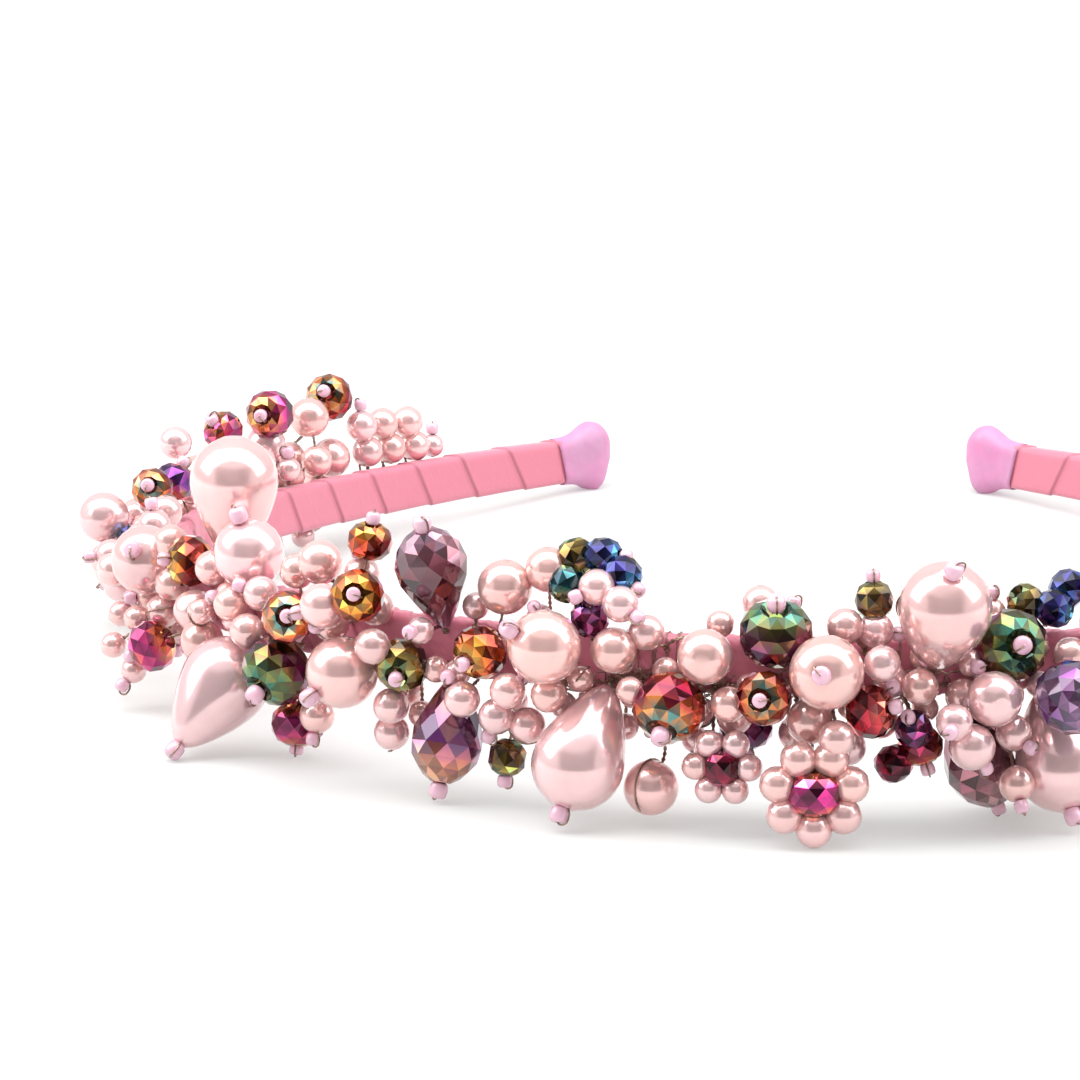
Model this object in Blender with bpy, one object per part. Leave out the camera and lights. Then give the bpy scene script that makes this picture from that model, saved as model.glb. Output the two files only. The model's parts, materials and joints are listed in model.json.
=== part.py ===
"""Beaded headband: a ribbon-wrapped band with two end caps and wired beads.

The band lies on its side, crown towards -Y and both ends towards +Y. It leans a
little, on its two end caps and on the lowest bead of the crown. Each piece is made
on the band's own level plane, and the whole is then tipped onto those three.
"""

import math
from collections import namedtuple

import bmesh
import bpy
from mathutils import Matrix, Vector

MM = 0.001

# Band: three arcs on each side of the crown, from the crown's centre to the end
CROWN_RADIUS = 75.0 * MM
CROWN_TURN = math.radians(67.0)
TEMPLE_RADIUS = 44.5 * MM
TEMPLE_TURN = math.radians(49.0)
ARM_RADIUS = 183.0 * MM
ARM_TURN = math.radians(23.0)
BAND_WIDTH = 5.6 * MM
BAND_THICKNESS = 2.2 * MM
BAND_CORNER = 0.6 * MM

# Ribbon: each turn laps over the last, which leaves a small step; under the stones
# the turns lie flat
RIBBON_PITCH = 6.3 * MM
RIBBON_STEP = 0.25 * MM
RIBBON_SLANT = 2.6 * MM
BARE_TURNS = 10

# End caps: sleeves that flare and close over the band's ends
CAP_LENGTH = 9.0 * MM
CAP_SOCKET = 6.0 * MM
CAP_WALL = 0.6 * MM
CAP_HEIGHT = 8.6 * MM
CAP_THICKNESS = 4.4 * MM
CAP_REST_DEPTH = 0.35 * MM

# Wire stems between the band and the stones, twisted together in a knot on the band
WIRE_DIAMETER = 0.8 * MM
WIRE_SIDES = 5
KNOT_DIAMETER = 1.4 * MM
KNOT_SIDES = 6
CLEARANCE = 0.3 * MM
SMALLEST_EDGE = 0.002 * MM

# Stones
PEARL_8 = 8.0 * MM
PEARL_6 = 6.0 * MM
PEARL_5 = 5.0 * MM
PEARL_4 = 4.0 * MM
PEARL_3 = 3.0 * MM
DROP_WIDTH = 10.0 * MM
DROP_LENGTH = 14.0 * MM
BRIOLETTE_WIDTH = 8.0 * MM
BRIOLETTE_LENGTH = 12.0 * MM
RONDELLE_8 = 8.0 * MM
RONDELLE_6 = 6.0 * MM
RONDELLE_5 = 5.0 * MM
CRYSTAL_4 = 4.2 * MM
RONDELLE_FLATNESS = 0.78
SMALL_FLOWER_PETALS = 6
LARGE_FLOWER_PETALS = 7
ROUND_SIDES = 10
CUT_SIDES = 8

# Stones of one spray that lie nearer than SEAT_REACH touch, sunk by SEAT
SEAT_REACH = 1.2 * MM
SEAT = 0.2 * MM

# A spray's place: hundredths of the half band along it. A stone's place in its spray:
# tenths of STEM_REACH further along, tenths of the band's width above its centre line,
# and tenths of STEM_REACH out from its outer face. A stone lies on its stem's line, or
# along its aim: away from the middle, back from the crown, and up
STEM_REACH = 10.0 * MM

Stone = namedtuple("Stone", "kind along rise out aim", defaults=[None])
Spray = namedtuple("Spray", "name along stones")

FRONT_SPRAYS = (
    Spray("drop_pearl_low", -9.2, [Stone("drop", -1.6, -15.0, 5.1, (-0.35, -0.35, -0.87))]),
    Spray("drop_pearl_high", 7.6, [Stone("drop", 0.0, 11.0, 6.5, (0.10, -0.60, 0.80))]),
    Spray("drop_pearl_outer", 13.9, [Stone("drop", 0.0, -15.2, 4.8)]),
    Spray("pearl_centre", 1.9, [Stone("pearl_8", 0.0, 2.5, 9.6, (-0.10, -1.0, 0.10))]),
    Spray("pearl_beside_drop", -11.8, [Stone("pearl_8", 0.0, 4.5, 7.1, (-0.75, -0.40, 0.45))]),
    Spray("pearl_small_centre", -3.9, [Stone("pearl_6", 0.0, 4.0, 6.3)]),
    Spray("pearl_small_low", -6.8, [Stone("pearl_6", 0.0, -23.0, 3.1)]),
    Spray("pearl_small_outer", 9.9, [Stone("pearl_6", 0.0, -3.5, 8.8)]),
    Spray("briolette_low", 9.9, [Stone("briolette", 0.6, -17.0, 0.4, (0.40, -0.10, -0.90))]),
    Spray("briolette_outer", 13.0, [Stone("briolette", 0.0, -2.3, 11.6)]),
    Spray("rondelle_beside_drop", -5.7, [Stone("rondelle_8", 0.0, -6.3, 5.4, (-0.25, -0.70, -0.65))]),
    Spray("rondelle_high", -0.5, [Stone("rondelle_8", 0.0, 8.0, 4.0, (0.0, -0.40, 0.90))]),
    Spray("rondelle_outer", 11.4, [Stone("rondelle_8", 0.0, 5.0, 4.3)]),
    Spray("rondelle_centre", -1.0, [Stone("rondelle_6", 0.0, -3.2, 7.7, (-0.20, -1.0, 0.10))]),
    Spray("rondelle_under_band", -2.1, [Stone("rondelle_6", 0.0, -12.0, -1.3)]),
    Spray("rondelle_red", 4.1, [Stone("rondelle_6", 0.0, -6.0, 6.5, (0.90, -0.40, 0.20))]),
    Spray("flower_small", -3.0, [Stone("flower_small", 0.0, -17.0, 6.8)]),
    Spray("flower_large", 1.4, [Stone("flower_large", 0.0, -20.7, 9.3)]),
    Spray("spray_crystals", -9.8, [
        Stone("crystal_4", -3.0, 20.0, 0.0),
        Stone("crystal_4", 0.6, 20.5, 0.3),
        Stone("crystal_4", 3.2, 16.5, 1.7),
        Stone("crystal_4", -3.6, 14.0, 1.8),
        Stone("pearl_4", -0.2, 15.0, 4.0),
        Stone("pearl_4", 3.4, 12.5, 4.8),
    ]),
    Spray("spray_upper_left", -6.2, [
        Stone("pearl_5", -4.8, 3.8, 4.5),
        Stone("pearl_4", -0.8, 8.0, 2.8),
        Stone("pearl_3", 5.6, 8.8, 1.8),
    ]),
    Spray("spray_upper_right", 4.1, [
        Stone("pearl_4", -2.2, 9.0, 2.8),
        Stone("pearl_4", 1.4, 7.7, 1.9),
        Stone("crystal_4", 0.8, 14.6, 1.8),
    ]),
    Spray("spray_pair", 5.6, [
        Stone("pearl_4", -2.0, 3.4, 7.6),
        Stone("pearl_4", 2.0, -1.8, 5.8),
    ]),
    Spray("spray_dark", 6.1, [
        Stone("rondelle_5", 1.8, -14.6, 2.2),
        Stone("crystal_4", 0.4, -9.5, 4.9),
        Stone("crystal_4", -2.0, -19.3, 1.8),
    ]),
    Spray("spray_lower_right", 9.4, [
        Stone("pearl_4", -3.2, -7.0, 10.6),
        Stone("pearl_5", -0.6, -14.0, 9.1),
        Stone("pearl_4", 3.6, -11.0, 6.6),
    ]),
    Spray("spray_blue", 14.2, [
        Stone("crystal_4", -2.6, 11.8, 0.3),
        Stone("crystal_4", 0.2, 10.9, 2.4),
        Stone("crystal_4", 2.4, 14.8, 0.4),
    ]),
    Spray("spray_pearl_and_rondelle", -15.4, [
        Stone("pearl_6", 0.8, 13.6, 1.8),
        Stone("rondelle_6", -0.8, 1.4, 4.4),
    ]),
    Spray("spray_lower_left", -14.2, [
        Stone("pearl_4", 0.4, -5.2, 5.6),
        Stone("pearl_4", -1.6, -12.5, 4.8),
        Stone("pearl_4", 2.2, -12.5, 3.5),
        Stone("crystal_4", -0.8, -19.3, 2.8),
    ]),
)

# The same on the left and the right of the crown
SIDE_SPRAYS = (
    Spray("briolette_high", 18.8, [Stone("briolette", 0.0, 14.5, 3.2)]),
    Spray("briolette_hanging", 18.0, [Stone("briolette", 0.0, -14.8, 2.8)]),
    Spray("pearl_temple_front", 23.5, [Stone("pearl_8", 0.0, -5.2, 6.3, (0.70, -0.50, -0.50))]),
    Spray("pearl_temple_high", 33.1, [Stone("pearl_8", 0.0, 12.5, 1.6, (0.20, -0.30, 0.95))]),
    Spray("pearl_temple", 42.9, [Stone("pearl_8", 0.0, 5.9, 4.4, (0.20, -0.80, 0.40))]),
    Spray("rondelle_temple", 38.4, [Stone("rondelle_6", 0.0, 8.2, 2.9, (0.95, -0.30, 0.10))]),
    Spray("drop_pearl_hanging", 32.6, [Stone("drop_turned", 0.0, -14.8, 7.0)]),
    Spray("drop_pearl_upright", 36.8, [Stone("drop", 0.0, 21.2, -1.1)]),
    Spray("spray_olive", 20.8, [
        Stone("rondelle_6", -1.2, -2.7, 5.0),
        Stone("pearl_4", 1.2, 2.5, 8.3),
    ]),
    Spray("spray_temple_row", 28.9, [
        Stone("rondelle_6", -3.4, 3.8, 6.2, (0.0, -0.95, 0.25)),
        Stone("pearl_4", 3.4, 6.2, 3.8),
    ]),
    Spray("spray_green", 28.7, [
        Stone("rondelle_8", -0.2, -7.9, 5.2),
        Stone("rondelle_6", 0.2, -19.5, 1.7),
    ]),
    Spray("spray_temple_upper", 24.4, [
        Stone("rondelle_6", -3.6, 10.2, 6.1, (0.10, -0.95, 0.25)),
        Stone("rondelle_5", -2.0, 19.6, 1.8),
        Stone("pearl_5", 0.6, 7.3, 7.3),
        Stone("pearl_5", 5.0, 13.9, 1.9),
    ]),
    Spray("spray_temple_lower", 37.6, [
        Stone("rondelle_6", 5.0, -9.8, 6.0),
        Stone("pearl_5", -0.8, -1.2, 3.5),
        Stone("pearl_5", -4.0, -6.6, 4.5),
    ]),
    Spray("spray_behind_ear", 54.2, [
        Stone("pearl_6", -4.4, 8.6, 6.5),
        Stone("rondelle_5", -2.4, 14.1, 1.0, (0.10, -0.90, 0.35)),
        Stone("rondelle_5", 3.6, 13.9, -0.6),
        Stone("pearl_8", 3.6, -4.0, 5.4),
    ]),
    Spray("spray_arm", 71.7, [
        Stone("rondelle_5", -11.2, 19.1, 2.8),
        Stone("rondelle_6", -2.4, 20.9, 2.0, (0.30, -0.90, 0.10)),
        Stone("rondelle_6", 11.6, 21.2, 3.7, (0.10, -0.85, 0.40)),
        Stone("pearl_5", -1.2, 12.3, 3.6),
        Stone("pearl_5", 10.8, 7.9, 2.8),
        Stone("rondelle_8", -7.4, -3.0, 5.4),
    ]),
)

# Looks: colour, roughness and metallic value
LOOKS = {
    "ribbon": ((0.95, 0.35, 0.47), 0.45, 0.0),
    "cap": ((0.86, 0.50, 0.74), 0.40, 0.0),
    "pearl": ((0.90, 0.72, 0.68), 0.18, 0.1),
    "crystal": ((0.16, 0.05, 0.07), 0.08, 0.9),
    "briolette": ((0.45, 0.27, 0.33), 0.06, 0.0),
}

# Turned outlines, from the end at the stem outwards: share of the length from the
# middle, and share of the half width
DROP_OUTLINE = (
    (-0.50, 0.13), (-0.42, 0.36), (-0.27, 0.62), (-0.08, 0.86), (0.12, 1.0),
    (0.29, 0.92), (0.42, 0.65), (0.50, 0.25),
)
BRIOLETTE_OUTLINE = ((-0.50, 0.16), (-0.12, 0.80), (0.16, 1.0), (0.38, 0.72), (0.50, 0.28))
RONDELLE_OUTLINE = ((-0.50, 0.45), (-0.14, 1.0), (0.14, 1.0), (0.50, 0.45))
CRYSTAL_OUTLINE = ((-0.50, 0.42), (0.0, 1.0), (0.50, 0.42))


def half_band():
    """Length of one side's three arcs."""
    return CROWN_RADIUS * CROWN_TURN + TEMPLE_RADIUS * TEMPLE_TURN + ARM_RADIUS * ARM_TURN


def plan(station):
    """Point of the centre line, tangent and outward normal, on the band's own plane."""
    side = -1.0 if station < 0.0 else 1.0
    left = abs(station)
    point = Vector((0.0, 0.0))
    heading = 0.0
    arcs = (
        (CROWN_RADIUS, CROWN_TURN),
        (TEMPLE_RADIUS, TEMPLE_TURN),
        (ARM_RADIUS, math.inf),
    )
    for radius, turn in arcs:
        run = min(left, radius * turn)
        end = heading + run / radius
        point += radius * Vector((math.sin(end) - math.sin(heading),
                                  math.cos(heading) - math.cos(end)))
        heading = end
        left -= run
    tangent = Vector((side * math.cos(heading), math.sin(heading)))
    normal = Vector((side * math.sin(heading), -math.cos(heading)))
    return Vector((side * point.x, point.y)), tangent, normal


def place(station, rise, out):
    """Point at a station, above the centre line and out from it."""
    point, _, normal = plan(station)
    flat = point + out * normal
    return Vector((flat.x, flat.y, rise))


def section(width, thickness, corner):
    """Rounded rectangle as eight points (rise, out)."""
    high = width / 2.0
    deep = thickness / 2.0
    return [
        (high - corner, deep), (high, deep - corner), (high, corner - deep),
        (high - corner, -deep), (corner - high, -deep), (-high, corner - deep),
        (-high, deep - corner), (corner - high, deep),
    ]


def loft(name, rings):
    """Closed skin through rings of equal counts, with flat ends."""
    shape = bmesh.new()
    loops = [[shape.verts.new(point) for point in ring] for ring in rings]
    count = len(rings[0])
    for near, far in zip(loops, loops[1:]):
        for i in range(count):
            j = (i + 1) % count
            shape.faces.new((near[i], near[j], far[j], far[i]))
    shape.faces.new(list(reversed(loops[0])))
    shape.faces.new(loops[-1])
    bmesh.ops.recalc_face_normals(shape, faces=shape.faces)
    mesh = bpy.data.meshes.new(name)
    shape.to_mesh(mesh)
    shape.free()
    return mesh


def band_ring(station, width, thickness, corner, slant=0.0):
    """Section of the band; its upper edge runs ahead of its lower one by the slant."""
    ring = []
    for rise, out in section(width, thickness, corner):
        shift = -slant * rise / width * (1.0 if station > 0.0 else -1.0)
        ring.append(place(station + shift, rise, out))
    return ring


def band_mesh():
    """The wrapped band: each bare turn of ribbon swells by a step over the one before."""
    sleeve = half_band() - CAP_LENGTH
    bare = sleeve - BARE_TURNS * RIBBON_PITCH
    covered = int(bare / (1.3 * RIBBON_PITCH))
    stations = [(bare * (index + 0.5) / covered, RIBBON_STEP / 2.0) for index in range(covered)]
    for turn in range(BARE_TURNS):
        start = bare + turn * RIBBON_PITCH
        stations.append((start + 0.05 * RIBBON_PITCH, 0.0))
        stations.append((start + 0.95 * RIBBON_PITCH, RIBBON_STEP))
    stations.append((sleeve + 0.2 * RIBBON_PITCH, 0.0))
    stations.append((sleeve + CAP_SOCKET - CLEARANCE, 0.0))
    sides = [(-station, step) for station, step in reversed(stations)] + stations
    rings = []
    for station, step in sides:
        slant = RIBBON_SLANT if bare < abs(station) < sleeve else 0.0
        rings.append(band_ring(station, BAND_WIDTH + 2.0 * step, BAND_THICKNESS + 2.0 * step,
                               BAND_CORNER, slant))
    return loft("ribbon_band", rings)


def cap_mesh(name, side):
    """Sleeve over one end: a flared, round-nosed loft with a socket for the band."""
    sleeve = half_band() - CAP_LENGTH
    inner_width = BAND_WIDTH + 2.0 * (RIBBON_STEP + CLEARANCE)
    inner_thickness = BAND_THICKNESS + 2.0 * (RIBBON_STEP + CLEARANCE)
    mouth_width = inner_width + 2.0 * CAP_WALL
    mouth_thickness = inner_thickness + 2.0 * CAP_WALL
    # Share of the length, of the flare in height and of the flare in thickness
    profile = (
        (0.0, 0.0, 0.0), (0.30, 0.20, 0.15), (0.52, 0.75, 0.60), (0.72, 1.0, 1.0),
        (0.88, 0.80, 0.75), (0.97, 0.15, 0.1), (1.0, -0.9, -1.2),
    )
    rings = []
    for along, tall, thick in profile:
        width = mouth_width + tall * (CAP_HEIGHT - mouth_width)
        thickness = mouth_thickness + thick * (CAP_THICKNESS - mouth_thickness)
        corner = 0.32 * thickness
        rings.append(band_ring(side * (sleeve + along * CAP_LENGTH), width, thickness, corner))
    outer = loft(name, rings)
    socket = [band_ring(side * (sleeve - CAP_WALL), inner_width, inner_thickness, BAND_CORNER),
              band_ring(side * (sleeve + CAP_SOCKET), inner_width, inner_thickness, BAND_CORNER)]
    return joined(name, outer, [loft("socket", socket)], "DIFFERENCE")


def flat_below(mesh, level):
    """Cut away what lies lower than a level, and close the cut."""
    shape = bmesh.new()
    shape.from_mesh(mesh)
    everything = shape.verts[:] + shape.edges[:] + shape.faces[:]
    bmesh.ops.bisect_plane(shape, geom=everything, plane_co=(0.0, 0.0, level),
                           plane_no=(0.0, 0.0, -1.0), clear_outer=True, dist=SMALLEST_EDGE)
    bmesh.ops.holes_fill(shape, edges=[edge for edge in shape.edges if edge.is_boundary])
    shape.to_mesh(mesh)
    shape.free()


def joined(name, mesh, others, operation):
    """One mesh from several, by an exact Boolean."""
    scratch = bpy.data.collections.new(name + "_pieces")
    bpy.context.scene.collection.children.link(scratch)
    base = bpy.data.objects.new(name + "_base", mesh)
    bpy.context.scene.collection.objects.link(base)
    for index, other in enumerate(others):
        scratch.objects.link(bpy.data.objects.new(f"{name}_piece_{index}", other))
    boolean = base.modifiers.new("Join", "BOOLEAN")
    boolean.operand_type = "COLLECTION"
    boolean.collection = scratch
    boolean.operation = operation
    boolean.solver = "EXACT"
    boolean.material_mode = "TRANSFER"
    graph = bpy.context.evaluated_depsgraph_get()
    result = bpy.data.meshes.new_from_object(base.evaluated_get(graph))
    result.name = name
    for helper in [base] + list(scratch.objects):
        bpy.data.objects.remove(helper)
    bpy.data.collections.remove(scratch)
    shape = bmesh.new()
    shape.from_mesh(result)
    bmesh.ops.remove_doubles(shape, verts=shape.verts, dist=SMALLEST_EDGE)
    shape.to_mesh(result)
    shape.free()
    return result


def turned(outline, length, width, sides):
    """Solid of revolution about Z: a ring drawn up and scaled step by step, then closed."""
    shape = bmesh.new()
    bmesh.ops.create_circle(shape, segments=sides, radius=width / 2.0)
    rim = shape.edges[:]
    low, wide = 0.0, 1.0
    for high, narrow in outline:
        if high > outline[0][0]:
            grown = bmesh.ops.extrude_edge_only(shape, edges=rim)["geom"]
            rim = [item for item in grown if isinstance(item, bmesh.types.BMEdge)]
        verts = list({vertex for edge in rim for vertex in edge.verts})
        bmesh.ops.translate(shape, vec=(0.0, 0.0, (high - low) * length), verts=verts)
        bmesh.ops.scale(shape, vec=(narrow / wide, narrow / wide, 1.0), verts=verts)
        low, wide = high, narrow
    bmesh.ops.holes_fill(shape, edges=[edge for edge in shape.edges if edge.is_boundary])
    bmesh.ops.recalc_face_normals(shape, faces=shape.faces)
    return shape


def pearl(diameter):
    """Round bead, flat at both ends of its hole."""
    steps = ROUND_SIDES // 2
    angles = [math.pi * (step + 0.5) / steps for step in range(steps)]
    outline = [(-math.cos(angle) / 2.0, math.sin(angle)) for angle in angles]
    return turned(outline, diameter, diameter, ROUND_SIDES)


def drop():
    """Pear-shaped pearl, its narrow end at the stem."""
    return turned(DROP_OUTLINE, DROP_LENGTH, DROP_WIDTH, ROUND_SIDES)


def briolette():
    """Long faceted drop, its narrow end at the stem."""
    return turned(BRIOLETTE_OUTLINE, BRIOLETTE_LENGTH, BRIOLETTE_WIDTH, CUT_SIDES)


def rondelle(diameter):
    """Cut bead: a flat table at each hole and three rows of facets between."""
    return turned(RONDELLE_OUTLINE, diameter * RONDELLE_FLATNESS, diameter, CUT_SIDES)


def crystal(diameter):
    """Small cut bead with a table and two rows of facets."""
    return turned(CRYSTAL_OUTLINE, diameter, diameter, CUT_SIDES)


# Look, maker, and the radius that surely lies inside the stone whichever way it turns
Kind = namedtuple("Kind", "look make core")
KINDS = {
    "pearl_8": Kind("pearl", lambda: pearl(PEARL_8), 0.46 * PEARL_8),
    "pearl_6": Kind("pearl", lambda: pearl(PEARL_6), 0.46 * PEARL_6),
    "pearl_5": Kind("pearl", lambda: pearl(PEARL_5), 0.46 * PEARL_5),
    "pearl_4": Kind("pearl", lambda: pearl(PEARL_4), 0.46 * PEARL_4),
    "pearl_3": Kind("pearl", lambda: pearl(PEARL_3), 0.46 * PEARL_3),
    "drop": Kind("pearl", drop, 0.36 * DROP_WIDTH),
    "drop_turned": Kind("pearl", drop, 0.36 * DROP_WIDTH),
    "briolette": Kind("briolette", briolette, 0.36 * BRIOLETTE_WIDTH),
    "rondelle_8": Kind("crystal", lambda: rondelle(RONDELLE_8), 0.39 * RONDELLE_8),
    "rondelle_6": Kind("crystal", lambda: rondelle(RONDELLE_6), 0.39 * RONDELLE_6),
    "rondelle_5": Kind("crystal", lambda: rondelle(RONDELLE_5), 0.39 * RONDELLE_5),
    "crystal_4": Kind("crystal", lambda: crystal(CRYSTAL_4), 0.40 * CRYSTAL_4),
}


def centre_of(spray, stone, side):
    """Where a stone's middle lies."""
    station = side * (spray.along / 100.0 * half_band() + stone.along / 10.0 * STEM_REACH)
    rise = stone.rise / 10.0 * BAND_WIDTH
    out = BAND_THICKNESS / 2.0 + stone.out / 10.0 * STEM_REACH
    return station, rise, out


def foot_of(spray, side):
    """Where the spray's knot, or its lone stem, meets the band, just clear of the ribbon."""
    places = [centre_of(spray, stone, side) for stone in spray.stones]
    _, rise, out = [sum(values) / len(places) for values in zip(*places)]
    station = side * spray.along / 100.0 * half_band()
    # A lone stem may meet the band squarely or lie along it, so it stands between the two
    reach = KNOT_DIAMETER / 2.0 if len(places) > 1 else WIRE_DIAMETER / 4.0
    stand = RIBBON_STEP + CLEARANCE + reach
    high = BAND_WIDTH / 2.0
    deep = BAND_THICKNESS / 2.0
    if out > deep + stand:
        inner = high - WIRE_DIAMETER
        return place(station, max(-inner, min(inner, rise)), deep + stand)
    edge = math.copysign(high + stand, rise)
    inner = deep - WIRE_DIAMETER / 2.0
    return place(station, edge, max(-inner, min(inner, out)))


def aimed(start, end):
    """Turn that brings +Z along a line."""
    return (end - start).to_track_quat("Z", "Y").to_matrix().to_4x4()


def as_mesh(name, shape, matrix, look):
    """Finished piece in world space, with its material."""
    bmesh.ops.transform(shape, matrix=matrix, verts=shape.verts)
    mesh = bpy.data.meshes.new(name)
    shape.to_mesh(mesh)
    shape.free()
    mesh.materials.append(material(look))
    return mesh


def wire(start, end):
    """Straight stem of twisted wire between two points."""
    length = (end - start).length
    shape = turned(((-0.5, 1.0), (0.5, 1.0)), length, WIRE_DIAMETER, WIRE_SIDES)
    return as_mesh("wire", shape, Matrix.Translation((start + end) / 2.0) @ aimed(start, end),
                   "crystal")


def knot(centre):
    """Small bud of wire that hides where several stems start."""
    shape = turned(CRYSTAL_OUTLINE, KNOT_DIAMETER, KNOT_DIAMETER, KNOT_SIDES)
    return as_mesh("knot", shape, Matrix.Translation(centre), "crystal")


def stone_mesh(kind, start, centre):
    """Stone threaded on the line from a start through its own centre."""
    turn = aimed(centre, start) if kind == "drop_turned" else aimed(start, centre)
    made = KINDS[kind]
    return as_mesh(kind, made.make(), Matrix.Translation(centre) @ turn, made.look)


def thread_start(stone, centre, start, side):
    """A point behind the stone on the line that it is threaded on."""
    if stone.aim is None:
        return start
    away, back, up = stone.aim
    return centre - Vector((side * away, back, up))


def flower_meshes(kind, centre, outward):
    """A cut stone ringed by pearls that touch it, facing outwards."""
    heart, petal, count = {
        "flower_small": ("crystal_4", "pearl_3", SMALL_FLOWER_PETALS),
        "flower_large": ("rondelle_6", "pearl_4", LARGE_FLOWER_PETALS),
    }[kind]
    upright = Vector((0.0, 0.0, 1.0))
    sideways = upright.cross(outward)
    ring = KINDS[heart].core + KINDS[petal].core - SEAT
    meshes = [stone_mesh(heart, centre - upright, centre)]
    for index in range(count):
        angle = math.tau * (index + 0.5) / count
        point = centre + ring * (math.sin(angle) * sideways + math.cos(angle) * upright)
        meshes.append(stone_mesh(petal, centre, point))
    return meshes


def spray_mesh(spray, side):
    """Stones of one spray: near ones touch, the others hang on wires from the foot."""
    foot = foot_of(spray, side)
    meshes = [knot(foot)] if len(spray.stones) > 1 else []
    placed = []
    for stone in spray.stones:
        centre = place(*centre_of(spray, stone, side))
        if stone.kind.startswith("flower"):
            outward = plan(centre_of(spray, stone, side)[0])[2].to_3d()
            meshes.append(wire(foot, centre))
            meshes.extend(flower_meshes(stone.kind, centre, outward))
            continue
        core = KINDS[stone.kind].core
        start = foot
        gaps = [((centre - other).length - core - room, other, room) for other, room in placed]
        if gaps and min(gaps)[0] < SEAT_REACH:
            _, start, room = min(gaps)
            centre = start + (centre - start).normalized() * (core + room - SEAT)
        else:
            meshes.append(wire(foot, centre))
        placed.append((centre, core))
        meshes.append(stone_mesh(stone.kind, thread_start(stone, centre, start, side), centre))
    return joined(spray.name, meshes[0], meshes[1:], "UNION")


def material(look):
    """Principled material for a look, made once."""
    made = bpy.data.materials.get(look)
    if made:
        return made
    colour, roughness, metallic = LOOKS[look]
    made = bpy.data.materials.new(look)
    made.use_nodes = True
    shader = made.node_tree.nodes["Principled BSDF"]
    shader.inputs["Base Color"].default_value = (*colour, 1.0)
    shader.inputs["Roughness"].default_value = roughness
    shader.inputs["Metallic"].default_value = metallic
    return made


def add_piece(collection, name, mesh, look=None):
    """Named object in the headband's collection."""
    mesh.name = name
    if look:
        mesh.materials.clear()
        mesh.materials.append(material(look))
    piece = bpy.data.objects.new(name, mesh)
    collection.objects.link(piece)
    return piece


def settle(caps, others):
    """Tip the whole onto its end caps and its lowest stone, and cut the caps flat there."""
    lowest = min((vertex.co for cap in caps for vertex in cap.data.vertices),
                 key=lambda corner: corner.z)
    rest = lowest + Vector((0.0, 0.0, CAP_REST_DEPTH))
    lean = max(math.atan2(rest.z - vertex.co.z, rest.y - vertex.co.y)
               for piece in others for vertex in piece.data.vertices)
    tip = Matrix.Rotation(-lean, 4, "X")
    for piece in caps + others:
        piece.data.transform(tip)
    floor = min(vertex.co.z for piece in others for vertex in piece.data.vertices)
    for cap in caps:
        flat_below(cap.data, floor)


def stand_on_origin(pieces):
    """Move the whole so that its box is centred on the origin and starts at the floor."""
    corners = [vertex.co for piece in pieces for vertex in piece.data.vertices]
    low = [min(corner[axis] for corner in corners) for axis in range(3)]
    high = [max(corner[axis] for corner in corners) for axis in range(3)]
    shift = Vector((-(low[0] + high[0]) / 2.0, -(low[1] + high[1]) / 2.0, -low[2]))
    for piece in pieces:
        piece.data.transform(Matrix.Translation(shift))


def build():
    """Make every piece of the headband."""
    for leftover in list(bpy.data.objects):
        bpy.data.objects.remove(leftover)
    collection = bpy.data.collections.new("beaded_headband")
    bpy.context.scene.collection.children.link(collection)
    caps = []
    others = [add_piece(collection, "ribbon_band", band_mesh(), "ribbon")]
    for ending, side in (("left", -1.0), ("right", 1.0)):
        name = "end_cap_" + ending
        caps.append(add_piece(collection, name, cap_mesh(name, side), "cap"))
        for spray in SIDE_SPRAYS:
            name = f"{spray.name}_{ending}"
            others.append(add_piece(collection, name, spray_mesh(spray, side)))
    for spray in FRONT_SPRAYS:
        others.append(add_piece(collection, spray.name, spray_mesh(spray, 1.0)))
    settle(caps, others)
    stand_on_origin(caps + others)


build()
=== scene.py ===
"""Looks of the beaded headband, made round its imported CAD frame.

Every strung piece is made on the band's own level plane, in metres, and is then seated:
tipped onto the end sleeves and the lowest stone as the CAD solids are.
"""

import json
import math
import random
from collections import namedtuple

import bmesh
import bpy
from mathutils import Matrix, Vector, noise


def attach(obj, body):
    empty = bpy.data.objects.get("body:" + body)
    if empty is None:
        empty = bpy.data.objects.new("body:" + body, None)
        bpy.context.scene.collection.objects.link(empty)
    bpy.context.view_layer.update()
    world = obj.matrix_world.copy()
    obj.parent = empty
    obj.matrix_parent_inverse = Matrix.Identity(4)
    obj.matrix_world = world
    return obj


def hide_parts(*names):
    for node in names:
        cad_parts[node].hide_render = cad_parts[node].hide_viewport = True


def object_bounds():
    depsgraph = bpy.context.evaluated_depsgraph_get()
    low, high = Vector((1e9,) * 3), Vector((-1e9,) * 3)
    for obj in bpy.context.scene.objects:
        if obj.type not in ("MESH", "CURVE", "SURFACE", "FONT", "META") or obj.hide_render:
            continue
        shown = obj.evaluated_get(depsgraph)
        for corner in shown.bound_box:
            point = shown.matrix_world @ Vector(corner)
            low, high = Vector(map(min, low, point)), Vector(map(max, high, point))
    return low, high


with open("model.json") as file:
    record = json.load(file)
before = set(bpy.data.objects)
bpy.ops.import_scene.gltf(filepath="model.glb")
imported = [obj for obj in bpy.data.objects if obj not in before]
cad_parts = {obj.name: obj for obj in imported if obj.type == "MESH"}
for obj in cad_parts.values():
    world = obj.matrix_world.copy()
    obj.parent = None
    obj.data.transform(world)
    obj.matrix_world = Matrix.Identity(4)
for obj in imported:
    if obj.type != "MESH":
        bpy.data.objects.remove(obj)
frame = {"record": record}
CAD_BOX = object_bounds()

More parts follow.
